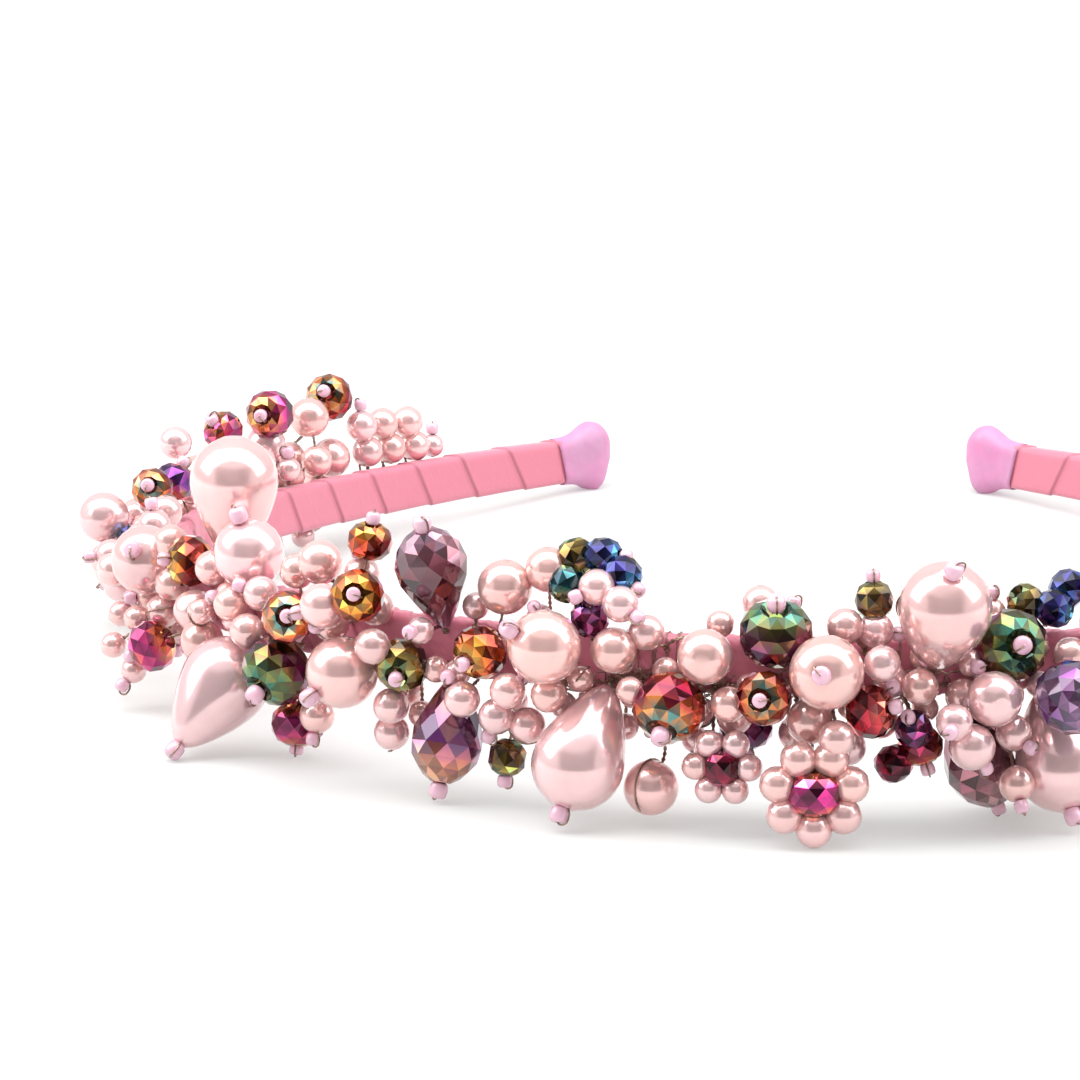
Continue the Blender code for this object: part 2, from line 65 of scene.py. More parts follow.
bl_info = {
    "name": "Beaded Headband",
    "version": (1, 0, 0),
    "blender": (4, 5, 0),
    "location": "View3D > Sidebar > Headband",
    "description": "Wraps the band, strings its pearls and cut beads, and sets the stage",
    "category": "Object",
}

MM = 0.001

# Band: three arcs on each side of the crown, from the crown's centre to the end
CROWN_RADIUS = 75.0 * MM
CROWN_TURN = math.radians(67.0)
TEMPLE_RADIUS = 44.5 * MM
TEMPLE_TURN = math.radians(49.0)
ARM_RADIUS = 183.0 * MM
ARM_TURN = math.radians(23.0)
BAND_WIDTH = 5.6 * MM
BAND_THICKNESS = 2.2 * MM
BAND_CORNER = 0.6 * MM

# Ribbon and sleeves
RIBBON_STEP = 0.25 * MM
WRAP_PITCH = 8.6 * MM
BARE_STRETCH = 63.0 * MM
CAP_LENGTH = 9.0 * MM
CAP_HEIGHT = 8.6 * MM
CAP_THICKNESS = 4.4 * MM
CLEARANCE = 0.3 * MM
# The ribbon runs this far into a sleeve
RIBBON_TAIL = 2.0 * MM
# Once round the band, in the millimetres that the ribbon's pattern is laid out in
BAND_GIRTH = 15.0
# Gathers of the ribbon under the stones: how far apart, how high, and the noise's row
GATHER_SPACING = 1.3 * MM
GATHER_HEIGHT = 0.40 * MM
GATHER_ROW = 3.1
# A sleeve's mouth fits the band with this much to spare, and its inside with less
MOUTH_SPARE = 0.06 * MM
SLEEVE_INSIDE = -0.2 * MM
# Middle of the facet of the solid band that the crown's mount lies on
MOUNT_STATION = 4.24 * MM

# Stems and stones
WIRE_DIAMETER = 0.8 * MM
KNOT_DIAMETER = 1.4 * MM
STEM_REACH = 10.0 * MM
DROP_WIDTH = 10.0 * MM
DROP_LENGTH = 14.0 * MM
BRIOLETTE_WIDTH = 8.0 * MM
BRIOLETTE_LENGTH = 12.0 * MM
RONDELLE_FLATNESS = 0.78
SMALL_FLOWER_PETALS = 6
LARGE_FLOWER_PETALS = 7
SEAT_REACH = 1.2 * MM
SEAT = 0.2 * MM
SMALLEST_EDGE = 0.002 * MM
SHORTEST_STEM = 0.8 * MM
STEM_STEP = 0.55 * MM
# Round pearls: rings of faces, and how far the ends at the hole are pressed in
LARGE_PEARL = 4.5 * MM
LARGE_PEARL_RINGS = 14
SMALL_PEARL_RINGS = 10
PEARL_DIMPLE = 0.90
# Hole of a cut bead: share of its table, of its half height, and of its mouth at the bottom
HOLE_SHARE = 0.62
HOLE_DEPTH = 0.35
HOLE_TAPER = 0.7
# Seed beads: share of the width that the wall takes, and how square it is
SEED_WALL = 0.33
SEED_SQUARE_ACROSS = 0.75
SEED_SQUARE_ALONG = 0.6

# Camera: where its view passes the headband, how steeply it looks down and from how far
PHOTO_SIZE = 1080
PIVOT = Vector((0.0, -1.48 * MM, 4.5 * MM))
PIVOT_PIXEL = (787, 612)
CAMERA_DISTANCE = 0.70
CAMERA_ELEVATION = math.radians(15.85)
FOCAL_PIXELS = 5950.0
SENSOR = 36.0
CLIP = (0.01, 20.0)

# Lamps: an arch of overlapping soft boxes over the headband, and a weak one behind the
# camera. Turns are in degrees from the right, and powers in watts
ARCH_POWERS = (1.1, 1.1, 1.4, 1.5, 1.5, 1.4)
ARCH_FIRST_TURN = 30
ARCH_NEXT_TURN = 24
ARCH_CENTRE = Vector((0.0, -0.04, 0.01))
ARCH_AIM = Vector((0.0, 0.0, 0.01))
ARCH_RADIUS = 0.62
ARCH_BOX = (0.27, 0.40)
FILL_PLACE = Vector((0.0, -0.9, 0.35))
FILL_SIZE = 0.6
FILL_POWER = 2.2

# Surround that the stones reflect: its strength, and the ranges over which it darkens
# behind the camera, under the lamps and between their ends, by direction
SURROUND_STRENGTH = 0.85
SURROUND_DARK = (0.16, 0.15, 0.15, 1.0)
SHADE_BACK = (-0.15, -0.50)
SHADE_HIGH = (0.80, 0.58)
SHADE_WIDE = (0.80, 0.60)

# Floor: half its width, and its own glow near the headband and far from it
FLOOR_HALF = 6.0
GLOW_COLOUR = (0.97, 1.0, 0.98)
GLOW_REACH = (0.08, 0.45)
GLOW_LEVELS = (0.34, 0.80)


class HeadbandSizes(bpy.types.PropertyGroup):
    """Sizes of the headband's fine parts."""

    ribbon_step: bpy.props.FloatProperty(
        name="Ribbon step", description="How far a turn of ribbon stands over the one before",
        default=0.18 * MM, min=0.0, max=1.0 * MM, unit="LENGTH")
    strand_width: bpy.props.FloatProperty(
        name="Wire strand", description="Diameter of one strand of the stems' wire",
        default=0.26 * MM, min=0.1 * MM, max=1.0 * MM, unit="LENGTH")
    seed_width: bpy.props.FloatProperty(
        name="Seed bead", description="Diameter of the seed beads that hold the stones",
        default=2.1 * MM, min=0.5 * MM, max=4.0 * MM, unit="LENGTH")
    lashing_pitch: bpy.props.FloatProperty(
        name="Lashing pitch", description="Mean distance between turns of wire on the band",
        default=0.55 * MM, min=0.3 * MM, max=10.0 * MM, unit="LENGTH")
    filling: bpy.props.IntProperty(
        name="Filling pearls", description="Small pearls that fill each side near the band",
        default=60, min=0, max=200, subtype="UNSIGNED")


class HeadbandColours(bpy.types.PropertyGroup):
    """Colours of the headband's finishes."""

    ribbon: bpy.props.FloatVectorProperty(
        name="Ribbon", description="Satin ribbon", subtype="COLOR", size=3, min=0.0, max=1.0,
        default=(0.64, 0.19, 0.265))
    sleeve: bpy.props.FloatVectorProperty(
        name="Sleeve", description="Moulded sleeves on the ends", subtype="COLOR", size=3,
        min=0.0, max=1.0, default=(0.62, 0.225, 0.42))
    sleeve_cloud: bpy.props.FloatVectorProperty(
        name="Sleeve clouds", description="Lilac clouds in the sleeves", subtype="COLOR", size=3,
        min=0.0, max=1.0, default=(0.53, 0.27, 0.43))
    pearl: bpy.props.FloatVectorProperty(
        name="Pearl", description="Pearl coating", subtype="COLOR", size=3, min=0.0, max=1.0,
        default=(0.83, 0.54, 0.53))
    seed: bpy.props.FloatVectorProperty(
        name="Seed bead", description="Milky glass", subtype="COLOR", size=3, min=0.0, max=1.0,
        default=(0.82, 0.50, 0.62))
    wire: bpy.props.FloatVectorProperty(
        name="Wire", description="Dark bronze wire", subtype="COLOR", size=3, min=0.0, max=1.0,
        default=(0.24, 0.165, 0.13))
    floor: bpy.props.FloatVectorProperty(
        name="Floor", description="Plain surface under the headband", subtype="COLOR", size=3,
        min=0.0, max=1.0, default=(0.44, 0.445, 0.44))


# A spray's place: hundredths of the half band along it. A stone's place in its spray:
# tenths of STEM_REACH further along, tenths of the band's width above its centre line,
# and tenths of STEM_REACH out from its outer face. A stone lies on its stem's line, or
# along its aim: away from the middle, back from the crown, and up
Stone = namedtuple("Stone", "kind along rise out tint aim", defaults=["plain", None])
Spray = namedtuple("Spray", "name along stones")

FRONT_SPRAYS = (
    Spray("drop_pearl_low", -9.2, [Stone("drop", -1.6, -15.0, 5.1, "plain", (-0.35, -0.35, -0.87))]),
    Spray("drop_pearl_high", 7.6, [Stone("drop", 0.0, 11.0, 6.5, "plain", (0.10, -0.60, 0.80))]),
    Spray("drop_pearl_outer", 13.9, [Stone("drop", 0.0, -15.2, 4.8)]),
    Spray("pearl_centre", 1.9, [Stone("pearl_8", 0.0, 2.5, 9.6, "plain", (-0.10, -1.0, 0.10))]),
    Spray("pearl_beside_drop", -11.8, [
        Stone("pearl_8", 0.0, 4.5, 7.1, "plain", (-0.75, -0.40, 0.45)),
    ]),
    Spray("pearl_small_centre", -3.9, [Stone("pearl_6", 0.0, 4.0, 6.3)]),
    Spray("pearl_small_low", -6.8, [
        Stone("pearl_6_wired", 0.0, -23.0, 3.1, "plain", (-0.35, -0.60, -0.70)),
    ]),
    Spray("pearl_small_outer", 9.9, [Stone("pearl_6", 0.0, -3.5, 8.8)]),
    Spray("briolette_low", 9.9, [
        Stone("briolette", 0.6, -17.0, 0.4, "dusk", (0.40, -0.10, -0.90)),
    ]),
    Spray("briolette_outer", 13.0, [Stone("briolette", 0.0, -2.3, 11.6, "amethyst")]),
    Spray("rondelle_beside_drop", -5.7, [
        Stone("rondelle_8", 0.0, -6.3, 5.4, "ember", (-0.25, -0.70, -0.65)),
    ]),
    Spray("rondelle_high", -0.5, [Stone("rondelle_8", 0.0, 8.0, 4.0, "moss", (0.0, -0.40, 0.90))]),
    Spray("rondelle_outer", 11.4, [Stone("rondelle_8", 0.0, 5.0, 4.3, "moss")]),
    Spray("rondelle_centre", -1.0, [
        Stone("rondelle_6", 0.0, -3.2, 7.7, "ember", (-0.20, -1.0, 0.10)),
    ]),
    Spray("rondelle_under_band", -2.1, [Stone("rondelle_6", 0.0, -12.0, -1.3, "plum")]),
    Spray("rondelle_red", 4.1, [Stone("rondelle_6", 0.0, -6.0, 6.5, "ruby", (0.90, -0.40, 0.20))]),
    Spray("flower_small", -3.0, [Stone("flower_small", 0.0, -17.0, 6.8, "garnet")]),
    Spray("flower_large", 1.4, [Stone("flower_large", 0.0, -20.7, 9.3, "rose")]),
    Spray("spray_crystals", -9.8, [
        Stone("crystal_4", -3.0, 20.0, 0.0, "olive"),
        Stone("crystal_4", 0.6, 20.5, 0.3, "night"),
        Stone("crystal_4", 3.2, 16.5, 1.7, "night"),
        Stone("crystal_4", -3.6, 14.0, 1.8, "lagoon"),
        Stone("pearl_4", -0.2, 15.0, 4.0),
        Stone("pearl_4", 3.4, 12.5, 4.8),
    ]),
    Spray("spray_upper_left", -6.2, [
        Stone("pearl_5", -4.8, 3.8, 4.5),
        Stone("pearl_4", -0.8, 8.0, 2.8),
        Stone("pearl_3", 5.6, 8.8, 1.8),
    ]),
    Spray("spray_upper_right", 4.1, [
        Stone("pearl_4", -2.2, 9.0, 2.8),
        Stone("pearl_4", 1.4, 7.7, 1.9),
        Stone("crystal_4", 0.8, 14.6, 1.8, "olive"),
    ]),
    Spray("spray_pair", 5.6, [
        Stone("pearl_4", -2.0, 3.4, 7.6),
        Stone("pearl_4", 2.0, -1.8, 5.8),
    ]),
    Spray("spray_dark", 6.1, [
        Stone("rondelle_5", 1.8, -14.6, 2.2, "ember"),
        Stone("crystal_4", 0.4, -9.5, 4.9, "plum"),
        Stone("crystal_4", -2.0, -19.3, 1.8, "garnet"),
    ]),
    Spray("spray_lower_right", 9.4, [
        Stone("pearl_4", -3.2, -7.0, 10.6),
        Stone("pearl_5", -0.6, -14.0, 9.1),
        Stone("pearl_4", 3.6, -11.0, 6.6),
    ]),
    Spray("spray_blue", 14.2, [
        Stone("crystal_4", -2.6, 11.8, 0.3, "olive"),
        Stone("crystal_4", 0.2, 10.9, 2.4, "night"),
        Stone("crystal_4", 2.4, 14.8, 0.4, "night"),
    ]),
    Spray("spray_pearl_and_rondelle", -15.4, [
        Stone("pearl_6", 0.8, 13.6, 1.8),
        Stone("rondelle_6", -0.8, 1.4, 4.4, "fire"),
    ]),
    Spray("spray_lower_left", -14.2, [
        Stone("pearl_4", 0.4, -5.2, 5.6),
        Stone("pearl_4", -1.6, -12.5, 4.8),
        Stone("pearl_4", 2.2, -12.5, 3.5),
        Stone("crystal_4", -0.8, -19.3, 2.8, "olive"),
    ]),
)

# The same on the left and the right of the crown
SIDE_SPRAYS = (
    Spray("briolette_high", 18.8, [Stone("briolette", 0.0, 14.5, 3.2, "mauve")]),
    Spray("briolette_hanging", 18.0, [Stone("briolette", 0.0, -14.8, 2.8, "amber")]),
    Spray("pearl_temple_front", 23.5, [
        Stone("pearl_8", 0.0, -5.2, 6.3, "plain", (0.70, -0.50, -0.50)),
    ]),
    Spray("pearl_temple_high", 33.1, [
        Stone("pearl_8", 0.0, 12.5, 1.6, "plain", (0.20, -0.30, 0.95)),
    ]),
    Spray("pearl_temple", 42.9, [Stone("pearl_8", 0.0, 5.9, 4.4, "plain", (0.20, -0.80, 0.40))]),
    Spray("rondelle_temple", 38.4, [
        Stone("rondelle_6", 0.0, 8.2, 2.9, "fire", (0.95, -0.30, 0.10)),
    ]),
    Spray("drop_pearl_hanging", 32.6, [Stone("drop_turned", 0.0, -14.8, 7.0)]),
    Spray("drop_pearl_upright", 36.8, [Stone("drop", 0.0, 21.2, -1.1)]),
    Spray("spray_olive", 20.8, [
        Stone("rondelle_6", -1.2, -2.7, 5.0, "olive"),
        Stone("pearl_4", 1.2, 2.5, 8.3),
    ]),
    Spray("spray_temple_row", 28.9, [
        Stone("rondelle_6", -3.4, 3.8, 6.2, "ember", (0.0, -0.95, 0.25)),
        Stone("pearl_4", 3.4, 6.2, 3.8),
    ]),
    Spray("spray_green", 28.7, [
        Stone("rondelle_8", -0.2, -7.9, 5.2, "moss"),
        Stone("rondelle_6", 0.2, -19.5, 1.7, "rose"),
    ]),
    Spray("spray_temple_upper", 24.4, [
        Stone("rondelle_6", -3.6, 10.2, 6.1, "fire", (0.10, -0.95, 0.25)),
        Stone("rondelle_5", -2.0, 19.6, 1.8, "fire"),
        Stone("pearl_5", 0.6, 7.3, 7.3),
        Stone("pearl_5", 5.0, 13.9, 1.9),
    ]),
    Spray("spray_temple_lower", 37.6, [
        Stone("rondelle_6", 5.0, -9.8, 6.0, "rose"),
        Stone("pearl_5", -0.8, -1.2, 3.5),
        Stone("pearl_5", -4.0, -6.6, 4.5),
    ]),
    Spray("spray_behind_ear", 54.2, [
        Stone("pearl_6", -4.4, 8.6, 6.5),
        Stone("rondelle_5", -2.4, 14.1, 1.0, "ember", (0.10, -0.90, 0.35)),
        Stone("rondelle_5", 3.6, 13.9, -0.6, "violet"),
        Stone("pearl_8", 3.6, -4.0, 5.4),
    ]),
    Spray("spray_arm", 71.7, [
        Stone("rondelle_5", -11.2, 19.1, 2.8, "rose"),
        Stone("rondelle_6", -2.4, 20.9, 2.0, "rose", (0.30, -0.90, 0.10)),
        Stone("rondelle_6", 11.6, 21.2, 3.7, "ember", (0.10, -0.85, 0.40)),
        Stone("pearl_5", -1.2, 12.3, 3.6),
        Stone("pearl_5", 10.8, 7.9, 2.8),
        Stone("rondelle_8", -7.4, -3.0, 5.4, "violet"),
    ]),
)

# Fine stones on stems of their own: hundredths of the half band along, then as above
FINE_FRONT = (
    Stone("crystal_4", -10.2, 9.0, 2.2, "plum"),
    Stone("pearl_4", -16.5, -7.7, 5.6),
    Stone("pearl_4", 12.7, -23.4, -1.1),
    Stone("pearl_4", 14.7, 2.3, 3.8),
    Stone("pearl_5", 1.2, -8.4, 5.4),
    Stone("pearl_4", 2.4, -10.2, 9.5),
    Stone("pearl_3", -8.3, 1.5, 3.2),
    Stone("pearl_3", 7.0, 3.0, 2.6),
    Stone("pearl_5", -12.8, 17.2, 0.5),
    Stone("pearl_4", 11.2, -20.4, 8.0),
)
FINE_SIDE = (
    Stone("pearl_4", 21.0, -11.2, 4.6),
    Stone("pearl_4", 21.5, -17.1, 3.0),
    Stone("pearl_4", 32.3, 3.4, 5.2),
    Stone("pearl_4", 26.7, -16.4, 2.9),
    Stone("pearl_4", 28.8, 11.2, 1.7),
    Stone("pearl_4", 41.1, -3.6, 3.7),
    Stone("pearl_4", 49.0, 11.6, -0.7),
    Stone("pearl_4", 60.7, 19.3, 2.8),
    Stone("pearl_3", 42.0, -5.4, 6.2),
    Stone("pearl_3", 41.2, -15.5, 7.3),
    Stone("pearl_3", 43.0, -11.4, 8.3),
    Stone("pearl_5", 75.1, 17.9, 2.9),
    Stone("pearl_3", 46.5, 5.0, 3.2),
    Stone("pearl_4", 59.5, 4.5, 3.0),
    Stone("pearl_3", 64.5, 9.5, 2.2),
    Stone("pearl_3", 70.0, 4.2, 2.6),
    Stone("crystal_4", 51.0, 4.0, 3.0, "night"),
    Stone("crystal_4", 66.5, 12.0, 3.0, "plum"),
    Stone("pearl_4", 74.6, 8.6, 1.0),
    Stone("pearl_4", 79.5, 8.6, 0.8),
    Stone("pearl_4", 81.7, 8.4, 0.8),
    Stone("pearl_4", 83.8, 8.2, 0.6),
    Stone("pearl_3", 85.6, 7.4, 0.8),
    Stone("pearl_4", 79.0, 14.6, 0.9),
    Stone("pearl_4", 81.2, 14.2, 1.2),
    Stone("pearl_4", 83.3, 13.8, 0.8),
)

# Where wire is wound round the band, in hundredths of the half band
LASHED = (-11.8, -9.6, -8.6, -7.8, -7.1, -6.4, -5.8, -3.4, -0.4, 2.8, 6.0, 7.6, 11.2)

# Turned outlines, from the end at the stem outwards: share of the length from the
# middle, and share of the half width
DROP_OUTLINE = (
    (-0.50, 0.13), (-0.42, 0.36), (-0.27, 0.62), (-0.08, 0.86), (0.12, 1.0),
    (0.29, 0.92), (0.42, 0.65), (0.50, 0.25),
)
BRIOLETTE_OUTLINE = ((-0.50, 0.16), (-0.12, 0.80), (0.16, 1.0), (0.38, 0.72), (0.50, 0.28))
# Rows of corners on a cut bead, from the girdle to the table
RONDELLE_ROWS = ((0.44, 0.95), (0.80, 0.74), (1.0, 0.44))

# Coatings of the cut beads, from the girdle to the table; the table and the walls of its hole are
# darkened further, as painted reflection of the dark room on the table and painted shade in the hole
COATINGS = {
    "ember": ((0.22, 0.008, 0.050), (0.55, 0.030, 0.030), (0.80, 0.24, 0.030), (0.07, 0.19, 0.17)),
    "moss": ((0.12, 0.020, 0.080), (0.16, 0.060, 0.030), (0.16, 0.20, 0.030), (0.03, 0.17, 0.12)),
    "plum": ((0.06, 0.008, 0.050), (0.22, 0.015, 0.150), (0.36, 0.05, 0.120), (0.08, 0.10, 0.34)),
    "ruby": ((0.12, 0.003, 0.012), (0.42, 0.010, 0.025), (0.65, 0.05, 0.050), (0.75, 0.16, 0.10)),
    "garnet": ((0.04, 0.002, 0.012), (0.18, 0.006, 0.03), (0.42, 0.02, 0.07), (0.32, 0.05, 0.16)),
    "rose": ((0.24, 0.008, 0.090), (0.62, 0.030, 0.240), (0.72, 0.10, 0.11), (0.70, 0.30, 0.08)),
    "olive": ((0.030, 0.018, 0.008), (0.15, 0.08, 0.015), (0.36, 0.24, 0.040), (0.10, 0.18, 0.08)),
    "night": ((0.005, 0.006, 0.025), (0.030, 0.020, 0.20), (0.03, 0.10, 0.36), (0.05, 0.24, 0.34)),
    "lagoon": ((0.006, 0.015, 0.030), (0.01, 0.09, 0.12), (0.05, 0.22, 0.20), (0.22, 0.26, 0.10)),
    "fire": ((0.16, 0.010, 0.012), (0.50, 0.045, 0.012), (0.80, 0.20, 0.020), (0.66, 0.36, 0.05)),
    "violet": ((0.05, 0.008, 0.10), (0.20, 0.030, 0.28), (0.50, 0.14, 0.16), (0.70, 0.30, 0.07)),
    "mauve": ((0.10, 0.02, 0.035), (0.22, 0.05, 0.07), (0.36, 0.12, 0.17), (0.45, 0.22, 0.34)),
    "dusk": ((0.16, 0.05, 0.08), (0.30, 0.11, 0.13), (0.44, 0.20, 0.22), (0.54, 0.30, 0.32)),
    "amber": ((0.14, 0.03, 0.16), (0.38, 0.09, 0.16), (0.72, 0.24, 0.08), (0.55, 0.26, 0.22)),
    "amethyst": ((0.05, 0.015, 0.09), (0.13, 0.035, 0.20), (0.24, 0.08, 0.24), (0.30, 0.17, 0.30)),
}
# Painted shade: factor that darkens the tables and hole walls of cut beads, standing in for the dark
# room they reflect and the shade inside the hole
TABLE_PAINTED_SHADE = 0.65
# How a coating varies from facet to facet: shift along its stops, and steps of brightness
FACET_SHIFT = 0.16
FACET_LEAN = 0.10
FACET_DIMMING = -0.45
FACET_CONTRAST = 0.85
GIRDLE_SPREAD = 1.6


def half_band():
    """Length of one side's three arcs."""
    return CROWN_RADIUS * CROWN_TURN + TEMPLE_RADIUS * TEMPLE_TURN + ARM_RADIUS * ARM_TURN


def plan(station):
    """Point of the centre line, tangent and outward normal, on the band's own plane."""
    side = -1.0 if station < 0.0 else 1.0
    left = abs(station)
    point = Vector((0.0, 0.0))
    heading = 0.0
    arcs = (
        (CROWN_RADIUS, CROWN_TURN),
        (TEMPLE_RADIUS, TEMPLE_TURN),
        (ARM_RADIUS, math.inf),
    )
    for radius, turn in arcs:
        run = min(left, radius * turn)
        end = heading + run / radius
        point += radius * Vector((math.sin(end) - math.sin(heading),
                                  math.cos(heading) - math.cos(end)))
        heading = end
        left -= run
    tangent = Vector((side * math.cos(heading), math.sin(heading)))
    normal = Vector((side * math.sin(heading), -math.cos(heading)))
    return Vector((side * point.x, point.y)), tangent, normal


def place(station, rise, out):
    """Point at a station, above the centre line and out from it."""
    point, _, normal = plan(station)
    flat = point + out * normal
    return Vector((flat.x, flat.y, rise))


def seating():
    """Matrix that tips the band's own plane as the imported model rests."""
    mount = next(row for row in frame["record"]["mounts"] if row["name"] == "crown_inside")
    lean = math.atan2(-mount["axis"][2], mount["axis"][1])
    tip = Matrix.Rotation(-lean, 4, "X")
    facet = place(MOUNT_STATION, 0.0, -(BAND_THICKNESS + RIBBON_STEP) / 2.0)
    shift = Vector(mount["pos_m"]) - tip @ Vector((0.0, facet.y, 0.0))
    return Matrix.Translation(shift) @ tip


SEATED = seating()


# Finishes

# Nearly all of a noise texture lies between these levels
NOISE_LOW = 0.3
NOISE_HIGH = 0.7


class Wiring:
    """Shorthand for the nodes and links of one node tree."""

    def __init__(self, tree):
        self.nodes = tree.nodes
        self.links = tree.links

    def feed(self, value, socket):
        """Link or set a socket."""
        if isinstance(value, bpy.types.NodeSocket):
            self.links.new(value, socket)
        elif isinstance(value, (int, float)):
            socket.default_value = value
        else:
            colour = tuple(value)
            socket.default_value = colour if len(socket.default_value) == 3 else (*colour, 1.0)

    def add(self, kind, **inputs):
        """New node, with its inputs linked or set by name."""
        node = self.nodes.new("ShaderNode" + kind)
        for title, value in inputs.items():
            self.feed(value, node.inputs[title.replace("_", " ")])
        return node

    def ranged(self, value, near, far, low, high, curve="LINEAR"):
        """Value moved from the range near to far into the range low to high."""
        node = self.add("MapRange")
        node.interpolation_type = curve
        for title, part in (("Value", value), ("From Min", near), ("From Max", far),
                            ("To Min", low), ("To Max", high)):
            self.feed(part, node.inputs[title])
        return node.outputs["Result"]


def mottle_group():
    """Node group: soft mottling between two levels, of one size, over Object coordinates."""
    name = "Soft Mottle"
    made = bpy.data.node_groups.get(name)
    if made:
        return made
    made = bpy.data.node_groups.new(name, "ShaderNodeTree")
    for title, default in (("Scale", 200.0), ("Low", 0.9), ("High", 1.1)):
        socket = made.interface.new_socket(name=title, in_out="INPUT",
                                           socket_type="NodeSocketFloat")
        socket.default_value = default
    made.interface.new_socket(name="Level", in_out="OUTPUT", socket_type="NodeSocketFloat")
    wiring = Wiring(made)
    entry = made.nodes.new("NodeGroupInput")
    leave = made.nodes.new("NodeGroupOutput")
    where = wiring.add("TexCoord")
    cloud = wiring.add("TexNoise", Vector=where.outputs["Object"],
                       Scale=entry.outputs["Scale"], Detail=3.0)
    level = wiring.ranged(cloud.outputs["Fac"], NOISE_LOW, NOISE_HIGH,
                          entry.outputs["Low"], entry.outputs["High"])
    wiring.feed(level, leave.inputs["Level"])
    return made


class Finish(Wiring):
    """A new material, with its shader's fixed sockets set."""

    def __init__(self, name, **sockets):
        self.material = bpy.data.materials.new(name)
        self.material.use_nodes = True
        super().__init__(self.material.node_tree)
        self.shader = self.nodes["Principled BSDF"]
        for title, value in sockets.items():
            self.shader.inputs[title.replace("_", " ")].default_value = value

    def to(self, title, value):
        """Link a value into the shader."""
        self.links.new(value, self.shader.inputs[title])

    def mottle(self, scale, low, high):
        """Level that varies softly over the surface."""
        node = self.add("Group")
        node.node_tree = mottle_group()
        for title, value in (("Scale", scale), ("Low", low), ("High", high)):
            node.inputs[title].default_value = value
        return node.outputs["Level"]

    def scaled(self, colour, level):
        """Colour made brighter or darker by a level."""
        node = self.add("VectorMath")
        node.operation = "SCALE"
        self.feed(colour, node.inputs[0])
        self.feed(level, node.inputs["Scale"])
        return node.outputs["Vector"]

    def blended(self, share, first, second):
        """Mix of two colours, through the mix node's colour sockets."""
        node = self.add("Mix", Factor=share)
        node.data_type = "RGBA"
        self.feed(first, node.inputs[6])
        self.feed(second, node.inputs[7])
        return node.outputs[2]

    def bump(self, height, strength, distance):
        """Relief from a height, straight into the shader."""
        node = self.add("Bump", Strength=strength, Distance=distance, Height=height)
        self.to("Normal", node.outputs["Normal"])


# Finishes of one source of colour, the stones' painted film or a named colour. Each row
# gives its name and source, then how the colour and the roughness vary, as the mottling's
# fineness, lowest and highest level, then the shader's fixed sockets
Plain = namedtuple("Plain", "name source tone rough sockets")
PLAIN_FINISHES = {
    "pearl": Plain("pearl_coating", "Film", (420.0, 0.96, 1.04), (300.0, 0.15, 0.22),
                   {"Metallic": 0.55, "IOR": 1.55, "Coat Weight": 0.6, "Coat Roughness": 0.05}),
    "cut_bead": Plain("iridescent_coating", "Film", (900.0, 0.85, 1.2), (700.0, 0.02, 0.07),
                      {"Metallic": 0.88, "IOR": 1.6, "Coat Weight": 0.6,
                       "Coat Roughness": 0.03}),
    "briolette": Plain("tinted_glass", "Film", (500.0, 0.9, 1.1), (500.0, 0.01, 0.04),
                       {"Metallic": 0.45, "IOR": 1.52, "Transmission Weight": 0.35,
                        "Coat Weight": 0.8, "Coat IOR": 1.6, "Coat Roughness": 0.02}),
    "seed_bead": Plain("milky_glass", "seed", (350.0, 0.9, 1.08), (600.0, 0.12, 0.25),
                       {"Metallic": 0.0, "IOR": 1.5, "Transmission Weight": 0.12,
                        "Coat Weight": 0.8, "Coat Roughness": 0.04}),
    "wire": Plain("bronze_wire", "wire", (800.0, 0.7, 2.2), (500.0, 0.28, 0.5),
                  {"Metallic": 1.0}),
}


def plain_finish(name, source, tone, rough, sockets):
    """Finish of one film or colour, softly mottled."""
    made = Finish(name, **sockets)
    if source == "Film":
        painted = made.add("Attribute")
        painted.attribute_name = source
        colour = painted.outputs["Color"]
    else:
        colour = getattr(bpy.context.scene.headband_colours, source)
    made.to("Base Color", made.scaled(colour, made.mottle(*tone)))
    made.to("Roughness", made.mottle(*rough))
    return made.material


def sleeve_finish():
    """Moulded sleeves: soft sheen with cloudy patches."""
    colours = bpy.context.scene.headband_colours
    made = Finish("moulded_sleeve", Metallic=0.0, Coat_Weight=0.15, Coat_Roughness=0.3)
    clouds = made.blended(made.mottle(230.0, 0.0, 1.0), colours.sleeve, colours.sleeve_cloud)
    made.to("Base Color", made.scaled(clouds, made.mottle(700.0, 0.95, 1.05)))
    made.to("Roughness", made.mottle(400.0, 0.42, 0.6))
    made.bump(made.mottle(900.0, 0.0, 1.0), 0.25, 0.08 * MM)
    return made.material


def ribbon_finish():
    """Satin ribbon: fine threads along its length, with painted shadow along each turn's stepped edge.
    """
    ribbon = bpy.context.scene.headband_colours.ribbon
    made = Finish("satin_ribbon", Metallic=0.0, Sheen_Weight=0.35, Sheen_Roughness=0.4)
    where = made.add("UVMap")
    where.uv_map = "UVMap"
    # The UV map runs in millimetres along the ribbon and across it
    stretched = made.add("Mapping", Vector=where.outputs["UV"], Scale=(0.6, 9.0, 1.0))
    threads = made.add("TexNoise", Vector=stretched.outputs["Vector"], Scale=1.0, Detail=4.0)
    across = made.add("SeparateXYZ", Vector=where.outputs["UV"])
    # Painted shadow: the colour darkens by up to a quarter in a thin strip along each turn's stepped
    # edge
    painted_seam_shadow = made.ranged(across.outputs["Y"], 0.10, 0.55, 0.55, 0.0)
    seam_shadowed = made.blended(painted_seam_shadow, ribbon, [0.55 * channel for channel in ribbon])
    grain = made.ranged(threads.outputs["Fac"], NOISE_LOW, NOISE_HIGH, 0.95, 1.05)
    made.to("Base Color", made.scaled(seam_shadowed, grain))
    made.to("Roughness", made.mottle(300.0, 0.36, 0.5))
    made.bump(threads.outputs["Fac"], 0.25, 0.10 * MM)
    return made.material


made_finishes = {}


